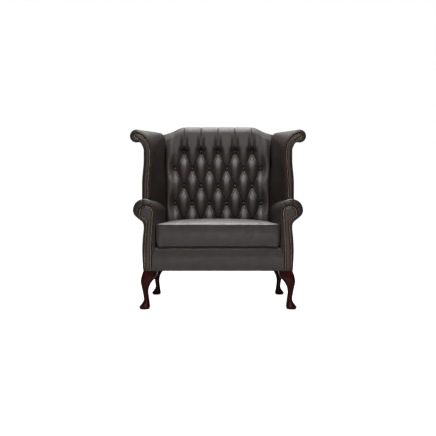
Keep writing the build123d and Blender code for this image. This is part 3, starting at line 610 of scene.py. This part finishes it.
def back_grid():
    """Rows from the seat up the front, over the fluted crest and down to the outside back."""
    a = np.linspace(-1, 1, BACK_COLUMNS)
    top = crest_top(a * SHOULDER_HALF)
    roll_z = top - CREST_ROLL
    start = DECK - 0.004
    rows = [buttoned_row(a, start + share * (roll_z - start)) for share in np.linspace(0, 1, FRONT_ROWS)]
    gap = np.min(np.abs(a * SHOULDER_HALF - np.arange(-2, 3)[:, None] * PITCH), axis=0)
    shift = 0.0030 * bell(gap, 0.0026) + 0.0012 * bell(gap, 0.010, 1)
    # Painted shade along the flutes, fading as they run over the crest.
    crease = 0.8 * bell(gap, 0.0019)
    for angle in quarter(ROLL_ROWS):
        z = roll_z + CREST_ROLL * sin(angle)
        y = crown_depth(z) + CREST_ROLL * (1 - cos(angle)) + shift * cos(angle)
        rows.append((np.stack([pad_x(a, z), at(y), z - shift * sin(angle)], 1), crease))
    x = pad_x(a, top)
    front_y = crown_depth(top) + CREST_ROLL
    edge_y = outside_depth(top - BACK_DROP) - 0.0009 - BACK_EDGE
    for share in np.linspace(0, 1, CREST_ROWS + 1)[1:]:
        z = top - shift * (1 - share) + 0.0015 * sin(pi * share)
        rows.append((np.stack([x, at(front_y + share * (edge_y - front_y)), z], 1), crease * (1 - share)))
    for angle in quarter(EDGE_ROWS):
        y, z = edge_y + BACK_EDGE * sin(angle), top - BACK_DROP * (1 - cos(angle))
        rows.append((np.stack([x, at(y), z], 1), 0 * crease))
    return [np.array(part) for part in zip(*rows)]


def build_back():
    """The tufted back as one closed piece, its rear flat against the outside back."""
    points, painted_shades = back_grid()
    count, columns = points.shape[:2]
    verts = points.reshape(-1, 3)
    faces = grid_faces(count, columns)
    index = np.arange(count * columns).reshape(count, columns)
    loop = np.concatenate([index[0], index[1:, -1], index[-1, -2::-1], index[-2:0:-1, 0]]).tolist()
    rear = verts[loop].copy()
    rear[:, 1] = at(outside_depth(rear[:, 2]) - 0.0008)
    base, size = len(verts), len(loop)
    for i in range(size):
        k = (i + 1) % size
        faces.append((loop[k], loop[i], base + i, base + k))
    faces.append(tuple(base + i for i in reversed(range(size))))
    obj = new_object("tufted_back", np.concatenate([verts, rear]), faces, hide_back)
    # Painted shade of the folds, pits and flutes; none on the rear.
    paint_shade(obj, np.concatenate([painted_shades.reshape(-1), np.zeros(size)]))
    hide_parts("inside_back", "back_padding")


def build_buttons():
    """Leather-covered buttons, each pulled into its tuft and turned a little."""
    rings = ((0.0080, -0.003), (0.0083, 0.0), (0.0082, 0.0012), (0.0073, 0.0030), (0.0055, 0.0043),
             (0.0030, 0.0050))
    parts = []
    for x, z, _ in button_places():
        tilt = rng.uniform(-0.09, 0.09, 2)
        sink = rng.uniform(-0.0006, 0.0006)
        place = np.array([x, at(crown_depth(z) + BUTTON_DEPTH + sink), z])
        parts.append(dome(rings, 0.0052, 24, place, (tilt[0], tilt[1] + BUTTON_LEAN)))
    verts, faces = merged(parts)
    obj = new_object("button_caps", verts, faces, hide_button)
    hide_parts("back_buttons")


# Arms
ARM_COUNTS = (34, 84, 14, 40)
ARM_PLEATS = (139.0, 80.0, 21.0, -31.0)
PLEAT_WIDTH, PLEAT_END, PLEAT_SHADE = 0.0027, 0.0134, 0.003
FACE_PLEAT, RIM_PLEAT, ROLL_PLEAT = 0.0036, 0.0032, 0.0005


def front_puff(share, swell, sink):
    """Depth across a stuffed front: sunk at the facing, swollen between it and the rim."""
    return sink * (1 - share) ** 4 - swell * sin(pi * share) ** 0.7


def arm_profile(inset):
    """The arm seen from the front: up the inside, over the roll, in to the neck and down the outside."""
    up, round_count, under, down = ARM_COUNTS
    inner = np.linspace((SEAT + inset, DECK - BURIED), (SEAT + inset, ARM_Z), up)
    over = arc((ARM_X, ARM_Z), ARM_R - inset, 180, -ARM_UNDER, round_count)
    neck = (NECK_X - inset, NECK_Z + inset / sqrt(3))
    t = np.linspace(0, 1, down)
    bulge = 4 * (BELLY_X - (NECK_X + BODY) / 2) * t * (1 - t)
    belly = np.stack([neck[0] + (BODY - inset - neck[0]) * t + bulge, neck[1] + (LEG - neck[1]) * t], 1)
    points = chain(inner, over, np.linspace(over[-1], neck, under), belly)
    bend = up + round_count + under - 3
    for middle in (bend, bend - under + 1):
        window = slice(middle - 10, middle + 11)
        points[window] = soften(points[window], 26)
    return points


def facing_profile(inset):
    """The edge of the arm facing, in step with the arm's own profile."""
    up, round_count, under, down = ARM_COUNTS
    low = STEM_IN + inset
    z = np.linspace(DECK - BURIED, RING_Z, up)
    leaning = low + (RING_X - RING_R + inset - low) * (z - STEM_KNEE) / (RING_Z - STEM_KNEE)
    inner = np.stack([np.where(z < STEM_KNEE, low, leaning), z], 1)
    over = arc((RING_X, RING_Z), RING_R - inset, 180, -RING_UNDER, round_count)
    neck = (STEM_NECK[0] - inset, STEM_NECK[1] + inset)
    foot_x = STEM_OUT - inset
    x = np.interp(np.linspace(0, 1, down), [0, 0.52, 1], [neck[0], foot_x, foot_x])
    stem = np.stack([x, np.linspace(neck[1], LEG + inset, down)], 1)
    return chain(inner, over, np.linspace(over[-1], neck, under), stem)


def arm_row(points, depth, strength, width, inward, dark=0.0):
    """One row of the arm: its pleats dip back, or inward, and lie in painted shade; dark adds painted shade
    to the whole row.
    """
    away = points - np.array([ARM_X, ARM_Z])
    angle = np.degrees(np.arctan2(away[:, 1], away[:, 0]))
    radius = np.linalg.norm(away, axis=1)
    dip = np.zeros(len(points))
    for mark in ARM_PLEATS:
        gap = np.abs((angle - mark + 180) % 360 - 180) * pi / 180 * radius
        dip = np.maximum(dip, bell(gap, width, 1.6))
    dip = dip * np.clip((points[:, 1] - 0.487) / 0.02, 0, 1)
    moved = points - away / radius[:, None] * (dip * strength * inward)[:, None]
    row = placed(moved, depth + dip * strength * (1 - inward))
    return row, np.maximum(0.92 * dip * min(1.0, strength / PLEAT_SHADE), dark)


def arm_grid():
    """Rows of the arm: out from the facing to the rim, round it, and back to the outside back."""
    outer, inner = arm_profile(ARM_RIM), facing_profile(0.004)
    rows = []
    for share in np.linspace(0, 1, 9):
        shape = inner + share * (outer - inner)
        # Painted shade on the rows beside the facing, fading out towards the rim.
        rows.append(arm_row(shape, front_puff(share, 0.0052, 0.0065), FACE_PLEAT * min(1.0, share * 2.5),
                            PLEAT_WIDTH, inward=0.0, dark=0.9 * (1 - share) ** 4))
    for angle in quarter(7):
        shape = arm_profile(ARM_RIM * (1 - sin(angle)))
        rows.append(arm_row(shape, ARM_RIM * (1 - cos(angle)), RIM_PLEAT * cos(angle) + 0.0006, PLEAT_WIDTH,
                            inward=0.9 * sin(angle)))
    body = arm_profile(0.0)
    end = outside_depth(body[:, 1]) - REAR_LAP
    for share in np.linspace(0, 1, 48)[1:] ** 1.35:
        fade = exp(-share * 0.6 / 0.012)
        depth = ARM_RIM + share * (end - ARM_RIM)
        rows.append(arm_row(body, depth, ROLL_PLEAT * fade, PLEAT_END - 0.01 * fade, inward=1.0))
    return [np.array(part) for part in zip(*rows)]


def build_arms():
    points, painted_shades = arm_grid()
    split = sum(ARM_COUNTS[:3]) - 2
    for obj in sheet_pair("arm_cover", points[:, :split], "inside_arm_cover", "arm_padding"):
        # Painted shade of the pleats and of the rows beside the facing.
        paint_shade(obj, painted_shades[:, :split])
    for obj in sheet_pair("arm_outside", points[:, split - 1:], "outside_arm_cover"):
        paint_shade(obj, painted_shades[:, split - 1:])


# Wings
WING_COUNTS = (44, 44, 72, 30)


def wing_profile(inner_line, outer_line, centre, radius, neck_radius):
    """The wing seen from the front: up the inside, out over the scroll and down the outside."""
    flare = radians(FLARE)
    cx, cz = centre
    bend_radius = (cx - radius * cos(flare) - inner_line[-1]) / (1 - cos(flare))
    bend_z = cz - (bend_radius - radius) * sin(flare)
    nx = outer_line[-1] + neck_radius
    drop = sqrt((radius + neck_radius) ** 2 - (nx - cx) ** 2)
    leave = degrees(atan2(-drop, nx - cx))

    def side(xs, top):
        z = np.linspace(ARM_Z, top, WING_COUNTS[0])
        share = smooth_step((z - SPLAY_LOW) / (SPLAY_HIGH - SPLAY_LOW))
        low = np.interp(z, (ARM_Z, SPLAY_LOW), xs[:2])
        return np.stack([low + (xs[2] - xs[1]) * share, z], 1)

    bend = arc((inner_line[-1] + bend_radius, bend_z), bend_radius, 180, 180 - FLARE, WING_COUNTS[1])
    over = arc(centre, radius, 180 - FLARE, leave, WING_COUNTS[2])
    neck = arc((nx, cz - drop), neck_radius, leave + 180, 180, WING_COUNTS[3])
    return chain(side(inner_line, bend_z), bend, over, neck, side(outer_line, cz - drop)[::-1])


def splayed(x):
    """Places of an upright line at the arm, at the splay's foot and at its top."""
    return (x + SPLAY, x + SPLAY, x)


def wing_front(inset):
    inner, outer = splayed(0.388 + inset), splayed(0.443 - inset)
    return wing_profile(inner, outer, SCROLL, 0.0395 - inset, 0.030 + inset)


def wing_facing(inset):
    inner, outer = splayed(0.402 + inset), splayed(0.441 - inset)
    return wing_profile(inner, outer, SCROLL, 0.018 - inset, 0.095 + inset)


def wing_rear():
    lean = (SHOULDER_HALF - SEAT) / (SHOULDER_Z - ARM_Z)
    inner = (SEAT, SEAT + lean * (SPLAY_LOW - ARM_Z), SHOULDER_HALF)
    return wing_profile(inner, (0.402,) * 3, REAR_ROLL, 0.024, 0.020)


def wing_grid():
    """Rows of the wing: out from the facing to the rim, round it, and back to the outside back."""
    outer, inner = wing_front(WING_RIM), wing_facing(0.003)
    rows = []
    for share in np.linspace(0, 1, 10):
        rows.append(placed(inner + share * (outer - inner), WING_DEPTH + front_puff(share, 0.0048, 0.0060)))
    for angle in quarter(5):
        shape = wing_front(WING_RIM * (1 - sin(angle)))
        rows.append(placed(shape, WING_DEPTH + WING_RIM * (1 - cos(angle))))
    front, rear = wing_front(0.0), wing_rear()
    swell = np.zeros_like(front)
    swell[:WING_COUNTS[0], 0] = np.sin(np.linspace(0, pi, WING_COUNTS[0])) ** 0.7
    start = WING_DEPTH + WING_RIM
    for share in np.linspace(0, 1, 30)[1:]:
        points = front + share * (rear - front) - 0.005 * sin(pi * share) * swell
        rows.append(placed(points, start + share * (WING_BEND - start)))
    end = outside_depth(rear[:, 1]) - REAR_LAP
    for share in np.linspace(0, 1, 8)[1:]:
        rows.append(placed(rear, WING_BEND + share * (end - WING_BEND)))
    return np.array(rows)


def build_wings():
    points = wing_grid()
    split = sum(WING_COUNTS) - 4
    for obj in sheet_pair("wing_cover", points[:, :split], "inside_wing_cover", "wing_padding"):
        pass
    sheet_pair("wing_outside", points[:, split - 1:], "outside_wing_cover")


# Facings and their nails

def closed_arm_facing(inset):
    outer, inner, foot = STEM_OUT - inset, STEM_IN + inset, LEG + inset
    ring = arc((RING_X, RING_Z), RING_R - inset, -RING_UNDER, 180, 60)
    neck = (STEM_NECK[0] - inset, STEM_NECK[1] + inset)
    out_knee, in_knee = (outer, STEM_KNEE), (inner, STEM_KNEE)
    return chain(np.linspace((outer, foot), out_knee, 26), np.linspace(out_knee, neck, 26),
                 np.linspace(neck, ring[0], 6), ring, np.linspace(ring[-1], in_knee, 34),
                 np.linspace(in_knee, (inner, foot), 26), np.linspace((inner, foot), (outer, foot), 10))


def closed_wing_facing(inset):
    line = wing_facing(inset)
    return chain(line, np.linspace(line[-1], line[0], 10))


def edge_distance(points, outline):
    """Distance from points to a closed outline."""
    best = np.full(len(points), 1.0)
    for a, b in zip(outline, np.roll(outline, -1, 0)):
        way = b - a
        size = way.dot(way)
        if size > 1e-14:
            share = np.clip(((points - a) @ way) / size, 0, 1)
            best = np.minimum(best, np.linalg.norm(points - (a + share[:, None] * way), axis=1))
    return best


def plate_mesh(name, outline, front, back):
    """A flat plate cut to an outline, made of small voxels."""
    solid = bmesh.new()
    face = solid.faces.new([solid.verts.new((x, front, z)) for x, z in outline[:-1]])
    moved = bmesh.ops.extrude_face_region(solid, geom=[face])
    for part in moved["geom"]:
        if isinstance(part, bmesh.types.BMVert):
            part.co.y = back
    bmesh.ops.recalc_face_normals(solid, faces=solid.faces)
    bmesh.ops.triangulate(solid, faces=solid.faces)
    mesh = bpy.data.meshes.new(name)
    solid.to_mesh(mesh)
    solid.free()
    obj = linked(name, mesh)
    made = remeshed(obj, 0.0019)
    bpy.data.objects.remove(obj)
    return made


def build_facing(name, outline, front, rise, replaced):
    """A stuffed panel cut to an outline, its front swelling inside the row of nails."""
    back = front + PLATE_THICK
    mesh = plate_mesh(name, outline, front, back)
    co = coordinates(mesh)
    gap = edge_distance(co[:, [0, 2]], outline)
    swell = smooth_step((gap - 0.0080) / 0.0058)
    edge = np.clip(1 - gap / 0.003, 0, 1) ** 2 * 0.002 + 0.0008
    rear = back - 0.001
    ahead = np.clip((rear - co[:, 1]) / (rear - front), 0, 1)
    co[:, 1] += ahead * (edge - rise * swell)
    # Painted shade along the panel's edge, out to the nail row, fading inside it.
    shadow = 0.92 * bell(np.maximum(0, gap - STUD_IN), 0.0035)
    faces = [tuple(p.vertices) for p in mesh.polygons]
    bpy.data.meshes.remove(mesh)
    for piece in pair(name, co, faces, hide, (replaced,)):
        paint_shade(piece, shadow)
        piece.modifiers.new("smooth", "SMOOTH").iterations = 3


def build_nails(name, places, front, replaced):
    """Domed nail heads, none quite like the next, painted dark as shade on their rims and bright only at
    their tips.
    """
    rings = np.array([(1.0, 0.0), (0.97, 0.28), (0.84, 0.58), (0.66, 0.80), (0.44, 0.93), (0.22, 0.985)])
    # Painted shade of each ring from the rim in: full on the rim, none at the tip.
    rim_shade = [1.0, 1.0, 1.0, 0.95, 0.45, 0.0]
    sides, sunk, base = 12, 0.0004, 0.0003
    parts = []
    for x, z in places:
        size = 1 + rng.uniform(-0.03, 0.03)
        tilt = rng.uniform(-0.1, 0.1, 2)
        sized = rings * (STUD_R * size, STUD_H + sunk)
        parts.append(dome(sized, STUD_H + base, sides, np.array([x, front + base, z]), tilt))
    verts, faces = merged(parts)
    # The painted shade of each vertex, the tip included.
    dark = np.tile(np.append(np.repeat(rim_shade, sides), 0.0), len(parts))
    for piece in pair(name, verts, faces, nail_brass, (replaced,)):
        paint_shade(piece, dark)


def build_facings():
    build_facing("arm_front", closed_arm_facing(0.0), at(0.0), 0.0050, "arm_facing")
    build_facing("wing_front", closed_wing_facing(0.0), at(WING_DEPTH), 0.0055, "wing_facing")
    arm_line = along(closed_arm_facing(STUD_IN)[:-1], STUD_GAP, closed=True)
    wing_line = [place for place in along(wing_facing(STUD_IN), STUD_GAP) if place[1] > ARM_Z + 0.065]
    build_nails("arm_nails", arm_line, at(FACE_LAP), "arm_studs")
    build_nails("wing_nails", wing_line, at(WING_DEPTH + FACE_LAP), "wing_studs")


# Front border

def build_border():
    """The leather over the front rail: turned under, bulging, and rounded back under the cushion."""
    roof, foot = DECK - 0.022, LEG + 0.004
    profile = [(0.008, LEG), (0.004, LEG), (0.0012, LEG + 0.0012), (-0.0008, foot)]
    for share in np.linspace(0, 1, 26)[1:]:
        bulge = 0.0080 * sin(pi * share ** 1.15) ** 0.9
        profile.append((-0.0008 + 0.0018 * share - bulge, foot + share * (roof - foot)))
    for angle in quarter(11):
        profile.append((0.0010 + 0.0180 * (1 - cos(angle)), roof + 0.0220 * sin(angle)))
    profile.append((0.026, DECK))
    u = np.linspace(-1, 1, 150)
    rows = []
    for depth, z in profile:
        sag = 0.0006 * np.sin(u * 23.0 + z * 31) * np.sin(pi * (z - LEG) / (DECK - LEG))
        rows.append(placed(np.stack([u * BORDER_HALF, z * np.ones(len(u))], 1), depth + sag))
    obj = new_object("border_panel", np.concatenate(rows), grid_faces(len(rows), len(u)), hide)
    thicken(obj, BORDER_THICK)
    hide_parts("front_border")


# Loose seat cushion
CUSHION_FRONT, CUSHION_REAR, CUSHION_LOW, CUSHION_EDGE = -0.006, 0.594, DECK + 0.0004, 0.463
CUSHION_FRONT_HALF, CUSHION_REAR_HALF = 0.3356, 0.3246
CUSHION_CROWN, CUSHION_TURN, CUSHION_LIP, CUSHION_SWELL = 0.023, 0.014, 0.006, 0.0060
CAP_ROWS = 26


def cushion_ring():
    """The cushion's outline from above, as places across and depths."""
    along_front, along_side, in_corner, corner_f, corner_r = 44, 38, 8, 0.016, 0.02
    start, end = CUSHION_FRONT + corner_f, CUSHION_REAR - corner_r
    right = chain(arc((CUSHION_FRONT_HALF - corner_f, start), corner_f, -90, 0, in_corner),
                  np.linspace((CUSHION_FRONT_HALF, start), (CUSHION_REAR_HALF, end), along_side),
                  arc((CUSHION_REAR_HALF - corner_r, end), corner_r, 0, 90, in_corner))
    left = right[::-1] * (-1, 1)
    return chain(np.linspace(left[-1], right[0], along_front), right,
                 np.linspace(right[-1], left[0], along_front), left)[:-1]


def cushion_mesh():
    """A crowned box with rounded corners, ready to be filled."""
    ring = cushion_ring()
    centre = np.array([0.0, (CUSHION_FRONT + CUSHION_REAR) / 2])
    away = ring - centre
    outward = away / np.linalg.norm(away, axis=1)[:, None]

    def row(inset, z):
        moved = ring - outward * inset
        return np.stack([moved[:, 0], at(moved[:, 1]), z * np.ones(len(ring))], 1)

    def cap(edge_z, crown, inset):
        block = []
        for i in range(CAP_ROWS):
            points = centre + (ring - outward * inset - centre) * (1 - i / CAP_ROWS)
            back = (points[:, 1] - CUSHION_FRONT) / (CUSHION_REAR - CUSHION_FRONT)
            half = CUSHION_FRONT_HALF - (CUSHION_FRONT_HALF - CUSHION_REAR_HALF) * back
            across = np.clip(np.abs(points[:, 0]) / half, 0, 1)
            deep = np.clip(np.abs(2 * back - 1), 0, 1)
            height = edge_z + crown * ((1 - across ** 2.4) * (1 - deep ** 2.8)) ** 0.85
            block.append(np.stack([points[:, 0], at(points[:, 1]), height], 1))
        return block

    rows = cap(CUSHION_LOW, 0.0, CUSHION_TURN)[::-1]
    for angle in np.radians((15, 30, 45, 60, 75)):
        z = CUSHION_LOW + CUSHION_TURN * (1 - cos(angle))
        rows.append(row(CUSHION_TURN * (1 - sin(angle)), z))
    wall_low, wall_high = CUSHION_LOW + CUSHION_TURN, CUSHION_EDGE - CUSHION_LIP
    for share in np.linspace(0, 1, 16):
        rows.append(row(-CUSHION_SWELL * sin(pi * share), wall_low + share * (wall_high - wall_low)))
    for angle in np.radians((30, 60)):
        rows.append(row(CUSHION_LIP * (1 - cos(angle)), wall_high + CUSHION_LIP * sin(angle)))
    rows.extend(cap(CUSHION_EDGE, CUSHION_CROWN, CUSHION_LIP))
    count, columns = len(rows), len(ring)
    tips = [(0, at(centre[1]), CUSHION_LOW), (0, at(centre[1]), CUSHION_EDGE + CUSHION_CROWN)]
    verts = np.concatenate(rows + [tips])
    faces = grid_faces(count, columns, True)
    bottom, top, last = len(verts) - 2, len(verts) - 1, (count - 1) * columns
    for j in range(columns):
        k = (j + 1) % columns
        faces.append((bottom, k, j))
        faces.append((top, last + j, last + k))
    return verts, faces


def inflate(obj, voxel, pressure, reach, keep, frames):
    """Fill a closed cover by a short cloth simulation and keep a share of the motion."""
    mesh = remeshed(obj, voxel)
    material = obj.data.materials[0]
    obj.data = mesh
    mesh.materials.clear()
    mesh.materials.append(material)
    rest = coordinates(mesh)
    soft = obj.modifiers.new("cloth", "CLOTH")
    soft.settings.effector_weights.gravity = 0
    soft.settings.use_pressure = True
    soft.settings.uniform_pressure_force = pressure
    soft.settings.tension_stiffness = 20
    soft.settings.compression_stiffness = 12
    soft.settings.bending_stiffness = 0.6
    soft.settings.mass = 0.25
    soft.point_cache.frame_start = 1
    soft.point_cache.frame_end = frames
    for number in range(1, frames + 1):
        scene.frame_set(number)
    shaped = evaluated(obj)
    moved = coordinates(shaped) - rest
    obj.modifiers.clear()
    size = np.linalg.norm(moved, axis=1)[:, None]
    set_coordinates(mesh, rest + moved * np.minimum(1.0, reach / np.maximum(size, 1e-9)) * keep)
    bpy.data.meshes.remove(shaped)
    scene.frame_set(1)


def pressed(values, limit, soft):
    """Values that come softly to rest below a limit."""
    over = values - (limit - soft)
    return np.where(over > 0, limit - soft + soft * np.tanh(over / soft), values)


def fit_cushion(mesh):
    """Keep the filled cushion on the deck, between the arms, before the back and clear of its zip."""
    half, foremost, rearmost, highest = 0.3360, at(-0.019), at(0.599), 0.4945
    zip_depth, zip_hollow, zip_fade = 0.5915, 0.0085, 0.030
    x, y, z = coordinates(mesh).T
    x = np.sign(x) * pressed(np.abs(x), half, 0.005)
    y = -pressed(-pressed(y, rearmost, 0.006), -foremost, 0.006)
    z = pressed(-pressed(-z, -CUSHION_LOW, 0.004), highest, 0.006)
    above = smooth_step((np.abs(z - ZIP_Z) - 0.012) / zip_fade)
    beside = smooth_step((np.abs(x) - ZIP_HALF - 0.004) / zip_fade)
    y = np.minimum(y, at(zip_depth + zip_hollow * np.maximum(above, beside)))
    set_coordinates(mesh, np.stack([x, y, z], 1))


def add_seams(mesh):
    """Sewn seams round the top and the bottom of the filled cushion."""
    tree = BVHTree.FromPolygons([v.co for v in mesh.vertices], [p.vertices for p in mesh.polygons])
    radius = 0.0021
    for name, z in (("cushion_seam_top", CUSHION_EDGE - 0.002), ("cushion_seam_low", CUSHION_LOW + 0.006)):
        path = []
        for x, depth in along(cushion_ring(), 0.006, closed=True):
            place, normal = tree.find_nearest(Vector((x, at(depth), z)))[:2]
            path.append(place + normal * radius * 0.3)
        verts, faces = tube(soften(np.array(path), 6, closed=True), radius, 8)
        new_object(name, verts, faces, hide_cushion, body="seat_cushion")


def build_cushion():
    verts, faces = cushion_mesh()
    obj = new_object("seat_cushion", verts, faces, hide_cushion, body="seat_cushion")
    inflate(obj, voxel=0.006, pressure=4.0, reach=0.026, keep=0.24, frames=20)
    fit_cushion(obj.data)
    obj.data.shade_smooth()
    add_seams(obj.data)
    obj.modifiers.new("even", "SMOOTH").iterations = 4
    finer = obj.modifiers.new("finer", "SUBSURF")
    finer.levels = finer.render_levels = 1
    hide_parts("seat_cushion_cover", "seat_cushion_filling")


# Cabriole legs
LEG_SIDES = 48
LEG_STATIONS = (1.0, 0.89, 0.80, 0.715, 0.60, 0.50, 0.42, 0.28, 0.21, 0.145, 0.07)
LEG_KNEE = (1.20, 1.36, 1.19, 0.78, 0.35, 0.12, 0.05) + (0.0,) * 4
LEG_FOOT = (0.0,) * 8 + (0.13, 0.5, 1.0)
LEG_INSET = (0.56, 0.48, 0.375, 0.24, 0.18, 0.18, 0.20, 0.26, 0.26, 0.21, 0.125)
LEG_ROUND = (0.02, 0.04, 0.08, 0.16, 0.26, 0.34, 0.40, 0.45, 0.48, 0.49, 0.49)
FOOT_RINGS = ((0.0130, 0.0586), (0.0118, 0.0565), (0.0105, 0.0546), (0.0060, 0.0532), (0.0030, 0.0520),
              (0.0022, 0.0500))
FOOT_INSET, REAR_LEG_DEPTH = 0.0085, 0.615


def leg_ring(z, width, centre, power):
    """A ring between a circle, at power 2, and a square."""
    angle = np.linspace(0, 2 * pi, LEG_SIDES, endpoint=False) + pi / LEG_SIDES
    c, s = np.cos(angle), np.sin(angle)
    reach = width / 2 * (np.abs(c) ** power + np.abs(s) ** power) ** (-1 / power)
    return np.stack([-centre + reach * c, centre + reach * s, z * np.ones(LEG_SIDES)], 1)


def build_leg():
    """One leg in its own corner: X and Y measured in from the corner of the body."""
    stations = np.array(LEG_STATIONS) * LEG
    fine = np.linspace(stations[0], stations[-1], 56)

    def smooth(values):
        line = np.interp(fine[::-1], stations[::-1], values[::-1])[::-1]
        return soften(line[:, None], 5)[:, 0]

    width = smooth(0.028 + np.array(LEG_KNEE) * 0.040 + np.array(LEG_FOOT) * 0.031)
    inset = smooth(np.array(LEG_INSET) * 0.068)
    power = 2.0 + 9.0 * (0.5 - smooth(np.array(LEG_ROUND))) ** 1.3
    rows = [leg_ring(*section) for section in zip(fine, width, inset, power)]
    rows.extend(leg_ring(z, ring_width, FOOT_INSET, 2.0) for z, ring_width in FOOT_RINGS)
    faces = grid_faces(len(rows), LEG_SIDES, True)
    faces.append(tuple(range(LEG_SIDES)))
    faces.append(tuple(reversed(range((len(rows) - 1) * LEG_SIDES, len(rows) * LEG_SIDES))))
    return np.concatenate(rows), turned(faces)


def build_legs():
    verts, faces = build_leg()
    for end, depth, y_sign in (("front", 0.0, 1), ("rear", REAR_LEG_DEPTH, -1)):
        for side, x_sign in (("right", 1), ("left", -1)):
            name = end + "_leg_" + side
            place = verts * (x_sign, y_sign, 1) + (x_sign * BODY, at(depth), 0)
            these = faces if x_sign * y_sign > 0 else turned(faces)
            obj = new_object("cabriole_" + name, place, these, leg_wood)
            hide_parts(name)


# Stage, light and camera
CAMERA_BACK, CAMERA_HIGH, CAMERA_LENS, SENSOR = 3.09, 0.496, 47.07, 36.0


def build_stage():
    """A pale floor that curves up into a wall."""
    front, bend, curve, height, half = -14, 5.0, 3.0, 12.0, 16
    profile = [(y, 0.0) for y in np.linspace(front, bend, 20)]
    for angle in quarter(15):
        profile.append((bend + curve * sin(angle), curve - curve * cos(angle)))
    profile.append((bend + curve, height))
    x = np.linspace(-half, half, 17)
    mat, tree, shader, where = node_material("studio_floor")
    tone = ramp(tree, noise(tree, where, 0.6, 2.0), (0.3, grey(0.58)), (0.7, grey(0.62)))
    seen = add(tree, "LightPath").outputs["Is Camera Ray"]
    feed(tree, shader, {"Base Color": tone, "Roughness": 0.9, "Emission Color": (1, 1, 1, 1),
                        "Emission Strength": calculate(tree, "MULTIPLY", seen, 0.95)})
    mesh = bpy.data.meshes.new("studio_floor")
    mesh.from_pydata([(v, y, z) for y, z in profile for v in x], [], grid_faces(len(profile), len(x)))
    mesh.shade_smooth()
    mesh.materials.append(mat)
    linked("studio_floor", mesh)


def add_light(name, place, target, size, power):
    data = bpy.data.lights.new(name, "AREA")
    data.shape = "RECTANGLE"
    data.size, data.size_y = size
    data.energy = power
    light = linked(name, data)
    light.location = place
    light.rotation_euler = (Vector(target) - Vector(place)).to_track_quat("-Z", "Y").to_euler()


def build_world():
    """White to the camera, and a weak fill for everything else."""
    world = bpy.data.worlds.new("studio")
    scene.world = world
    world.use_nodes = True
    tree = world.node_tree
    seen = add(tree, "LightPath").outputs["Is Camera Ray"]
    feed(tree, tree.nodes["Background"], {"Color": (1, 1, 1, 1), "Strength": spread(tree, seen, 0.035, 1.0)})
    scene.view_settings.view_transform = "Standard"
    scene.view_settings.look = "None"


def build_camera():
    data = bpy.data.cameras.new("camera")
    data.sensor_width = SENSOR
    data.lens = CAMERA_LENS
    camera = linked("camera", data)
    camera.location = (0.0, at(-CAMERA_BACK), CAMERA_HIGH)
    camera.rotation_euler = (radians(90), 0, 0)
    scene.camera = camera


dress_nodes()
build_back()
build_buttons()
build_arms()
build_wings()
build_facings()
build_border()
build_cushion()
build_legs()
build_stage()
add_light("sky", place=(0, 0, 3.1), target=(0, 0, 0), size=(1.7, 4.4), power=225)
add_light("front", place=(0, -5.5, 0.45), target=(0, 0, 0.45), size=(2.4, 1.1), power=60)
add_light("rear", place=(0, 4.6, 1.3), target=(0, 0, 0.6), size=(2.4, 1.2), power=60)
build_world()
build_camera()
